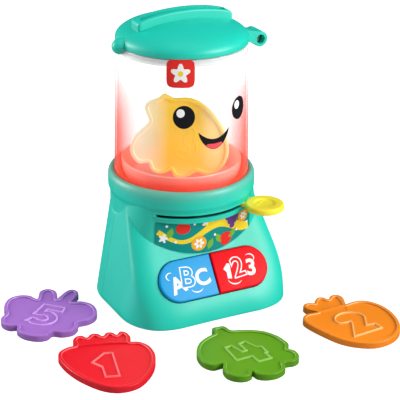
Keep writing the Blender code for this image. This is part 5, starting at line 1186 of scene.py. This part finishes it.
def lid_ridge():
    """The grip: sections across it with rounded shoulders, drawn in at both ends."""
    end = 0.0022
    turn = np.linspace(0, math.pi / 2, 7)
    ends = RIDGE_HALF_LENGTH - end + end * np.sin(turn)
    shrink = end * (1 - np.cos(turn))
    middle = np.linspace(-RIDGE_HALF_LENGTH + end, RIDGE_HALF_LENGTH - end, 41)
    x = np.concatenate([-ends[::-1], middle[1:-1], ends])
    inset = np.concatenate([shrink[::-1], np.zeros(39), shrink])
    half_width = RIDGE_HALF_WIDTH - inset
    top = dome_height(np.abs(x)) + RIDGE_RISE - inset
    low = dome_height(np.hypot(x, RIDGE_HALF_WIDTH)) - LID_WALL * 0.4
    corner = np.linspace(0, math.pi / 2, 6)
    across, drop = RIDGE_ROUND * (1 - np.cos(corner)), RIDGE_ROUND * (1 - np.sin(corner))
    side = np.stack([half_width] + [half_width - step for step in across])
    wall = np.stack([low] + [top - step for step in drop])
    y, z = np.concatenate([-side, side[::-1]]), np.concatenate([wall, wall[::-1]])
    return capped_mesh("ridge", np.stack([np.broadcast_to(x, y.shape), y, z], axis=2).transpose(1, 0, 2))


def lid_nub():
    """The thumb tab opposite the hinge: a short round boss with a domed end, along the X axis."""
    radius, straight, dome = 0.0066, 0.0044, 0.0070
    profile = [(0.0, 0.0), (radius, 0.0)] + arc((0.0, straight), (radius, dome), 0, 90, 12)
    profile[-1] = (0.0, profile[-1][1])
    place = Matrix.Translation((-LID_RADIUS + 0.0036, 0, LID_Z + 0.0015)) @ Matrix.Rotation(-math.pi / 2, 4, "Y")
    return placed(lathe_mesh("nub", profile, 48), place)


def lid_arm():
    """The arm from the lid's edge down to the barrel, a side view drawn along Y."""
    outside_jar = 0.0562
    outline = np.array([
        (PLUG_RADIUS, LID_Z), (outside_jar, LID_Z), (outside_jar, HINGE_Z), (HINGE_X, HINGE_Z - BARREL_RADIUS * 0.9),
        (HINGE_X, HINGE_Z + BARREL_RADIUS * 0.98), (0.0640, HINGE_Z + 0.0079), (0.0589, HINGE_Z + BARREL_RADIUS * 1.33),
        (PLUG_RADIUS, DOME_Z + LID_DOME_HEIGHT * 0.2),
    ])
    return capped_mesh("arm", np.stack([np.insert(outline, 1, y, axis=1) for y in (BARREL_START_Y, BARREL_END_Y)]))


def rounded_barrel(low, high):
    """A short cylinder along Y with softened end edges."""
    edge = 0.0006
    profile = [(0.0, low)] + arc((BARREL_RADIUS - edge, low + edge), (edge, edge), -90, 0, 5)
    profile += arc((BARREL_RADIUS - edge, high - edge), (edge, edge), 0, 90, 5) + [(0.0, high)]
    return placed(lathe_mesh("barrel", profile, 64), along_y(HINGE_X, HINGE_Z))


def lid():
    """Dome, grip, tab, arm and barrel in one, with the disc slot, the pin's bore and the jar's seat cut out."""
    added = [lid_ridge(), lid_nub(), lid_arm(), rounded_barrel(BARREL_START_Y, BARREL_END_Y)]
    mesh = carved(lid_dome(), added, "UNION")
    slot = capped_mesh("slot", prism_points(disc_slot_outline, [(DOME_Z, 0), (DOME_Z + 0.033, 0)]))
    bore = rod_mesh("bore", BARREL_BORE_RADIUS, BARREL_START_Y - 0.002, BARREL_END_Y + 0.002)
    seat_inner, seat_outer, seat_low = 0.0527, 0.0556, 0.2132
    seat = [(seat_inner, seat_low), (seat_outer, seat_low), (seat_outer, LID_Z), (seat_inner, LID_Z)]
    tools = [slot, placed(bore, along_y(HINGE_X, HINGE_Z)), lathe_mesh("seat", seat, closed=True)]
    piece = finished("shown_lid", carved(mesh, tools), finishes["teal_plastic"], math.radians(36))
    fitted(piece, "lid_body", "teal_plastic", "lid")


def disc_slot_outline(inset):
    """A long slot with rounded ends."""
    round_end = DISC_SLOT_HALF_WIDTH * 0.55
    turn = np.linspace(0, math.pi / 2, 6)
    x, y = [], []
    for sign_x, sign_y, first in ((1, 1, 0), (-1, 1, 1), (-1, -1, 2), (1, -1, 3)):
        swing = turn + first * math.pi / 2
        x.append(sign_x * (DISC_SLOT_HALF_LENGTH - round_end) + round_end * np.cos(swing))
        y.append(sign_y * (DISC_SLOT_HALF_WIDTH - round_end) + round_end * np.sin(swing))
    return np.concatenate(x), np.concatenate(y)


# Discs


BERRY_SHARES = (
    (0.50, 0.65), (0.53, 0.85), (0.45, 1.05), (0.34, 1.09), (0.26, 0.97), (0.18, 1.07), (0.06, 1.08),
    (-0.03, 0.95), (-0.13, 1.06), (-0.26, 1.06), (-0.36, 0.93), (-0.46, 1.02), (-0.58, 0.99), (-0.65, 0.84),
    (-0.62, 0.65), (-0.82, 0.55), (-0.97, 0.38), (-0.97, 0.10), (-0.80, -0.33), (-0.54, -0.71),
    (-0.20, -1.03), (0.15, -1.13), (0.53, -0.97), (0.83, -0.49), (0.94, 0.02), (0.87, 0.40), (0.70, 0.60),
)
BUSHY_SHARES = (
    (0.92, 0.00), (0.86, 0.29), (0.70, 0.52), (0.53, 0.67), (0.37, 0.80), (0.38, 1.01), (0.27, 1.08),
    (0.13, 1.11), (0.02, 0.93), (-0.18, 0.91), (-0.45, 0.85), (-0.69, 0.69), (-0.87, 0.47), (-0.96, 0.20),
    (-0.90, -0.01), (-0.70, -0.08), (-0.83, -0.22), (-0.91, -0.42), (-0.87, -0.61), (-0.74, -0.74),
    (-0.58, -0.76), (-0.47, -0.69), (-0.48, -0.84), (-0.38, -0.98), (-0.20, -1.07), (0.00, -1.07),
    (0.14, -1.00), (0.23, -0.88), (0.42, -0.96), (0.58, -0.94), (0.70, -0.82), (0.74, -0.67), (0.71, -0.53),
    (0.85, -0.40), (0.90, -0.22),
)
ROUND_FRUIT_SHARES = (
    (0.18, 0.66), (0.24, 0.84), (0.25, 1.03), (0.15, 1.13), (0.03, 1.10), (-0.08, 0.98), (-0.15, 1.09),
    (-0.27, 1.11), (-0.38, 1.00), (-0.44, 0.90), (-0.60, 0.94), (-0.71, 0.86), (-0.69, 0.68), (-0.54, 0.51),
    (-0.76, 0.49), (-0.92, 0.37), (-0.94, 0.12), (-0.71, -0.45), (-0.50, -0.79), (-0.20, -1.02),
    (0.12, -1.11), (0.50, -1.01), (0.79, -0.75), (0.94, -0.40), (0.98, 0.00), (0.91, 0.35), (0.74, 0.61),
    (0.54, 0.71), (0.33, 0.69),
)
CLUSTER_SHARES = (
    (0.36, 0.60), (0.38, 0.95), (0.28, 1.11), (0.15, 1.11), (0.08, 0.98), (0.01, 0.63), (-0.08, 0.87),
    (-0.20, 0.99), (-0.36, 1.00), (-0.46, 0.84), (-0.40, 0.51), (-0.62, 0.60), (-0.84, 0.55),
    (-0.98, 0.37), (-0.99, 0.15), (-0.93, -0.08), (-0.81, -0.29), (-0.82, -0.53), (-0.70, -0.72),
    (-0.53, -0.79), (-0.38, -0.74), (-0.31, -0.91), (-0.10, -1.05), (0.18, -1.07), (0.36, -0.96),
    (0.42, -0.78), (0.62, -0.76), (0.80, -0.62), (0.84, -0.41), (0.80, -0.25), (0.97, -0.09), (1.05, 0.14),
    (0.98, 0.40), (0.80, 0.60), (0.56, 0.65),
)
LEANING_FRUIT_SHARES = (
    (-0.10, 0.85), (0.13, 0.86), (0.31, 0.83), (0.52, 0.72), (0.75, 0.50), (0.91, 0.27), (1.01, 0.02),
    (1.06, -0.27), (0.98, -0.55), (0.80, -0.74), (0.60, -0.80), (0.38, -0.74), (0.23, -0.82),
    (0.05, -0.87), (-0.10, -0.83), (-0.17, -0.71), (-0.32, -0.77), (-0.48, -0.77), (-0.60, -0.69),
    (-0.66, -0.55), (-0.85, -0.56), (-0.98, -0.44), (-1.04, -0.24), (-0.96, 0.02), (-0.80, 0.18),
    (-0.64, 0.36), (-0.69, 0.52), (-0.73, 0.67), (-0.65, 0.77), (-0.47, 0.84), (-0.33, 0.94),
    (-0.22, 0.90),
)


def smooth_loop(shares, steps=6):
    """The closed Catmull-Rom curve through the points, as in the part's source."""
    here = np.asarray(shares, float) * DISC_SIZE
    before, after, beyond = (np.roll(here, step, axis=0) for step in (1, -1, -2))
    share = np.linspace(0, 1, steps, endpoint=False)[:, None, None]
    bend = share ** 2 * (before - 2.5 * here + 2 * after - beyond / 2)
    twist = share ** 3 * (1.5 * (here - after) + (beyond - before) / 2)
    curve = here + share * (after - before) / 2 + bend + twist
    return curve.transpose(1, 0, 2).reshape(-1, 2)


def drawn_in(outline, inset):
    """Each point moved towards the middle until it lies the inset away from the whole outline."""
    if inset <= 0:
        return outline
    share = np.linspace(1, 0.4, 61)[:, None, None]
    tries = outline * share
    clear = np.linalg.norm(tries[:, :, None] - outline[None, None], axis=3).min(axis=2)
    after = np.argmax(clear >= inset, axis=0)
    column = np.arange(len(outline))
    low, high = clear[after - 1, column], clear[after, column]
    place = (after - 1 + (inset - low) / np.maximum(high - low, 1e-9)) * (share[1, 0, 0] - share[0, 0, 0]) + 1
    for _ in range(2):
        place = (np.roll(place, 1) + 2 * place + np.roll(place, -1)) / 4
    return outline * place[:, None]


def digit_outline(digit):
    """The corners and arcs of a block digit, in shares of a disc's size."""
    if digit == "1":
        points = [(-0.07, 0.26), (0.10, 0.24), (0.15, -0.67), (-0.12, -0.67), (-0.15, -0.27), (-0.34, -0.08)]
    elif digit == "2":
        points = [(-0.21, -0.69), (0.48, -0.53), (0.43, -0.32), (0.23, -0.32)]
        points += arc((0.01, 0.02), (0.33, 0.30), 0, 180, 12)
        points += [(-0.29, -0.08), (-0.17, -0.09), (-0.01, -0.07), (-0.04, -0.21), (-0.13, -0.45)]
    elif digit == "3":
        upper, lower = (0.135, 0.09), (0.135, -0.22)
        points = arc(upper, (0.21, 0.21), 165, -38, 12) + arc(lower, (0.235, 0.235), 38, -165, 14)
        points += arc(lower, (0.085, 0.085), -165, 75, 8) + [(0.105, -0.12), (0.105, 0.015)]
        points += arc(upper, (0.07, 0.07), -75, 165, 8)
    elif digit == "4":
        points = [(-0.21, 0.36), (-0.07, 0.33), (-0.07, 0.01), (0.03, -0.01), (0.11, 0.29), (0.26, 0.27), (0.28, -0.04),
                  (0.37, -0.11), (0.30, -0.34), (0.24, -0.32), (0.19, -0.56), (-0.09, -0.49), (-0.04, -0.25),
                  (-0.38, -0.16)]
    else:
        bowl = (0.0, -0.26)
        points = [(-0.18, 0.33), (0.30, 0.29), (0.31, 0.09), (-0.03, 0.13), (-0.05, 0.02)]
        points += arc(bowl, (0.31, 0.31), 80, -140, 12) + [(-0.31, -0.46), (-0.22, -0.30)]
        points += arc(bowl, (0.12, 0.12), -150, 125, 10) + [(-0.25, -0.14)]
    return np.array(points)


def raised_bar(points, half_width, height):
    """A flat-topped ridge along an open line on a disc's recessed face."""
    points = np.array(points) * DISC_SIZE
    half = ((1, -SINK), (0.75, height * 0.9), (0.6, height))
    rows = ridge_rows(on_disc, points, corner_offset(points, False) * half_width, half)
    return capped_mesh("raised_bar", rows.transpose(1, 0, 2))


def disc_mesh(shares, bar):
    """A flat disc with rounded edges and a raised border; a bar parts its crown from its body."""
    edge = 0.0009
    outline = smooth_loop(shares) * DISC_FIT
    levels = [(0.0, 0.0)] + round_edge(DISC_THICKNESS, edge, 4)
    levels += [(DISC_THICKNESS, DISC_BORDER - 0.0006), (DISC_THICKNESS - 0.0003, DISC_BORDER - 0.0003)]
    levels += [(DISC_THICKNESS - DISC_RECESS, DISC_BORDER)]
    rings = [(0.0, outline * 0)]
    rings += [(z, drawn_in(outline, inset)) for z, inset in levels]
    rings.append((DISC_THICKNESS - DISC_RECESS, outline * 0))
    points = np.stack([np.column_stack([ring, np.full(len(ring), z)]) for z, ring in rings])
    meshes = [sheet_mesh("disc", points, wrap_columns=True)]
    if bar:
        meshes.append(raised_bar(bar, 0.0016, DISC_RECESS - 0.0001))
    return merged_mesh("disc", meshes)


RED_BAR = [(-0.60, 0.62), (-0.30, 0.65), (0.0, 0.66), (0.25, 0.65), (0.48, 0.62)]
ORANGE_BAR = [(-0.54, 0.49), (-0.30, 0.55), (-0.05, 0.60), (0.17, 0.63)]


def discs():
    """The four discs on the floor and the one that stands in the jar, with their borders and digits."""
    loose = (
        ("red_disc", BERRY_SHARES, (-0.1165, -0.1054), -18.3, "red_disc_plastic", "1", RED_BAR),
        ("green_disc", BUSHY_SHARES, (-0.0125, -0.1411), 15.6, "green_plastic", "4", None),
        ("orange_disc", ROUND_FRUIT_SHARES, (0.0925, -0.1338), -8.3, "orange_plastic", "2", ORANGE_BAR),
        ("purple_disc", CLUSTER_SHARES, (-0.1314, -0.0098), -41.8, "purple_plastic", "5", None),
    )
    lean = math.radians(8)
    turn = Matrix.Rotation(math.radians(-27.6), 4, "Z")
    stand = Matrix.Rotation(math.pi / 2 - lean, 4, "X")
    lowest = smooth_loop(LEANING_FRUIT_SHARES, 2)[:, 1].min()
    height = DISH_FLOOR_Z + GAP - lowest * math.cos(lean)
    standing = turn @ Matrix.Translation((-0.0018, -0.005, height)) @ stand
    rows = [("yellow_disc", LEANING_FRUIT_SHARES, standing, "jar_disc_body", "yellow_disc_plastic", "3", None)]
    for name, shares, place, angle, slot, digit, bar in loose:
        where = Matrix.Translation((*place, 0)) @ Matrix.Rotation(math.radians(angle), 4, "Z")
        rows.append((name, shares, where, name + "_body", slot, digit, bar))
    for name, shares, where, body, slot, digit, bar in rows:
        piece = finished("shown_" + name, placed(disc_mesh(shares, bar), where), finishes[slot])
        fitted(piece, body, slot, name)
        if name != "yellow_disc":
            # A thin ridge along the border's inner edge, in the disc's painted highlight finish.
            crest = drawn_in(smooth_loop(shares) * DISC_FIT, DISC_BORDER - 0.0005)
            rim = raised_line(on_disc, crest, 0.00035, DISC_RECESS)
            piece = finished("border_of_" + name, placed(rim, where), crest_highlights[slot], math.radians(60))
            fitted(piece, body, slot)
        # The digit's ridge, in the same painted highlight finish.
        height = 0.0002 if name == "yellow_disc" else DISC_RECESS - 0.0001
        line = raised_line(on_disc, digit_outline(digit) * DISC_SIZE, 0.0008, height)
        piece = finished("digit_of_" + name, placed(line, where), crest_highlights[slot], math.radians(60))
        fitted(piece, body, slot)


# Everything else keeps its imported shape, smoothed


def carried_over():
    """Every node that no piece stands for, in its own shape and finish."""
    slots = {item["node"]: item["material_slot"] for item in frame["record"]["subparts"]}
    for body, members in frame["record"]["behaviour"]["bodies"].items():
        for node in members:
            if node not in replaced:
                slot = slots[node]
                mesh = frame["nodes"][node].data.copy()
                fitted(finished("shown_" + node, mesh, finishes[slot], math.radians(30)), body, slot, node)


# Stage, light and camera


def stage():
    """A pale floor, and a world that is white to the camera and dimmer as light on the object."""
    bpy.ops.mesh.primitive_plane_add(size=6.0, location=(0, 0, 0))
    floor = bpy.context.object
    floor.name = "studio_floor"
    pale, black = (0.62, 0.62, 0.62), (0, 0, 0)
    ground = Finish("studio_floor", pale, 0.9, Specular_IOR_Level=0.0)
    ground.glow(ground.mixed(ground.ray("Camera"), black, (0.72, 0.72, 0.72)), 1.0)
    ground.feed("Base Color", ground.mixed(ground.ray("Glossy"), pale, (0.05, 0.05, 0.05)))
    floor.data.materials.append(ground.material)
    world = bpy.data.worlds.new("studio")
    bpy.context.scene.world = world
    world.use_nodes = True
    sky = Shading(world.node_tree)
    seen = sky.ray("Camera").most(sky.ray("Transmission"))
    strength = seen * 0.62 + 0.38 + sky.ray("Glossy") * -0.34
    back = sky.tree.nodes["Background"]
    back.inputs["Color"].default_value = (1, 1, 1, 1)
    sky.tree.links.new(strength.socket, back.inputs["Strength"])


def lamp(name, place, target, size, power):
    """An oblong area lamp aimed at a point."""
    data = bpy.data.lights.new(name, "AREA")
    data.shape = "RECTANGLE"
    data.size, data.size_y = size
    data.energy = power
    item = bpy.data.objects.new(name, data)
    item.location = place
    item.rotation_euler = (Vector(target) - Vector(place)).to_track_quat("-Z", "Y").to_euler()
    bpy.context.scene.collection.objects.link(item)
    return item


def camera():
    """The camera that was fitted to the photo: its turn, pitch, roll, distance and focal length."""
    turn, pitch, roll = math.radians(-27.594), math.radians(23.463), math.radians(0.707)
    focal, aside, distance, height = 1427.91, 0.01649, 1.23988, 0.07965
    ahead = Vector((-math.sin(turn) * math.cos(pitch), math.cos(turn) * math.cos(pitch), -math.sin(pitch)))
    right = Vector((math.cos(turn), math.sin(turn), 0))
    up = right.cross(ahead)
    place = Vector((0, 0, height)) - ahead * distance + right * aside
    rolled_right = right * math.cos(roll) + up * math.sin(roll)
    rolled_up = -right * math.sin(roll) + up * math.cos(roll)
    data = bpy.data.cameras.new("camera")
    data.sensor_width = 36.0
    data.lens = focal / 400 * data.sensor_width
    data.clip_start, data.clip_end = 0.05, 20.0
    item = bpy.data.objects.new("camera", data)
    axes = Matrix((rolled_right, rolled_up, -ahead)).transposed()
    item.matrix_world = Matrix.Translation(place) @ axes.to_4x4()
    bpy.context.scene.collection.objects.link(item)
    bpy.context.scene.camera = item


housings()
buttons()
lever()
jar()
dish()
face_print()
badge_print()
label_ground()
label_print()
lid()
discs()
carried_over()
stage()
lamp("key", (0.92, -1.18, 0.72), (0, 0, 0.09), (0.8, 0.8), 23.5)
lamp("side", (-1.16, 0.90, 0.50), (0, 0, 0.10), (0.5, 0.9), 17.0)
lamp("top", (0.10, -0.10, 1.5), (0, 0, 0.1), (1.0, 1.0), 5.5).visible_glossy = False
camera()
bpy.context.scene.view_settings.view_transform = "Standard"
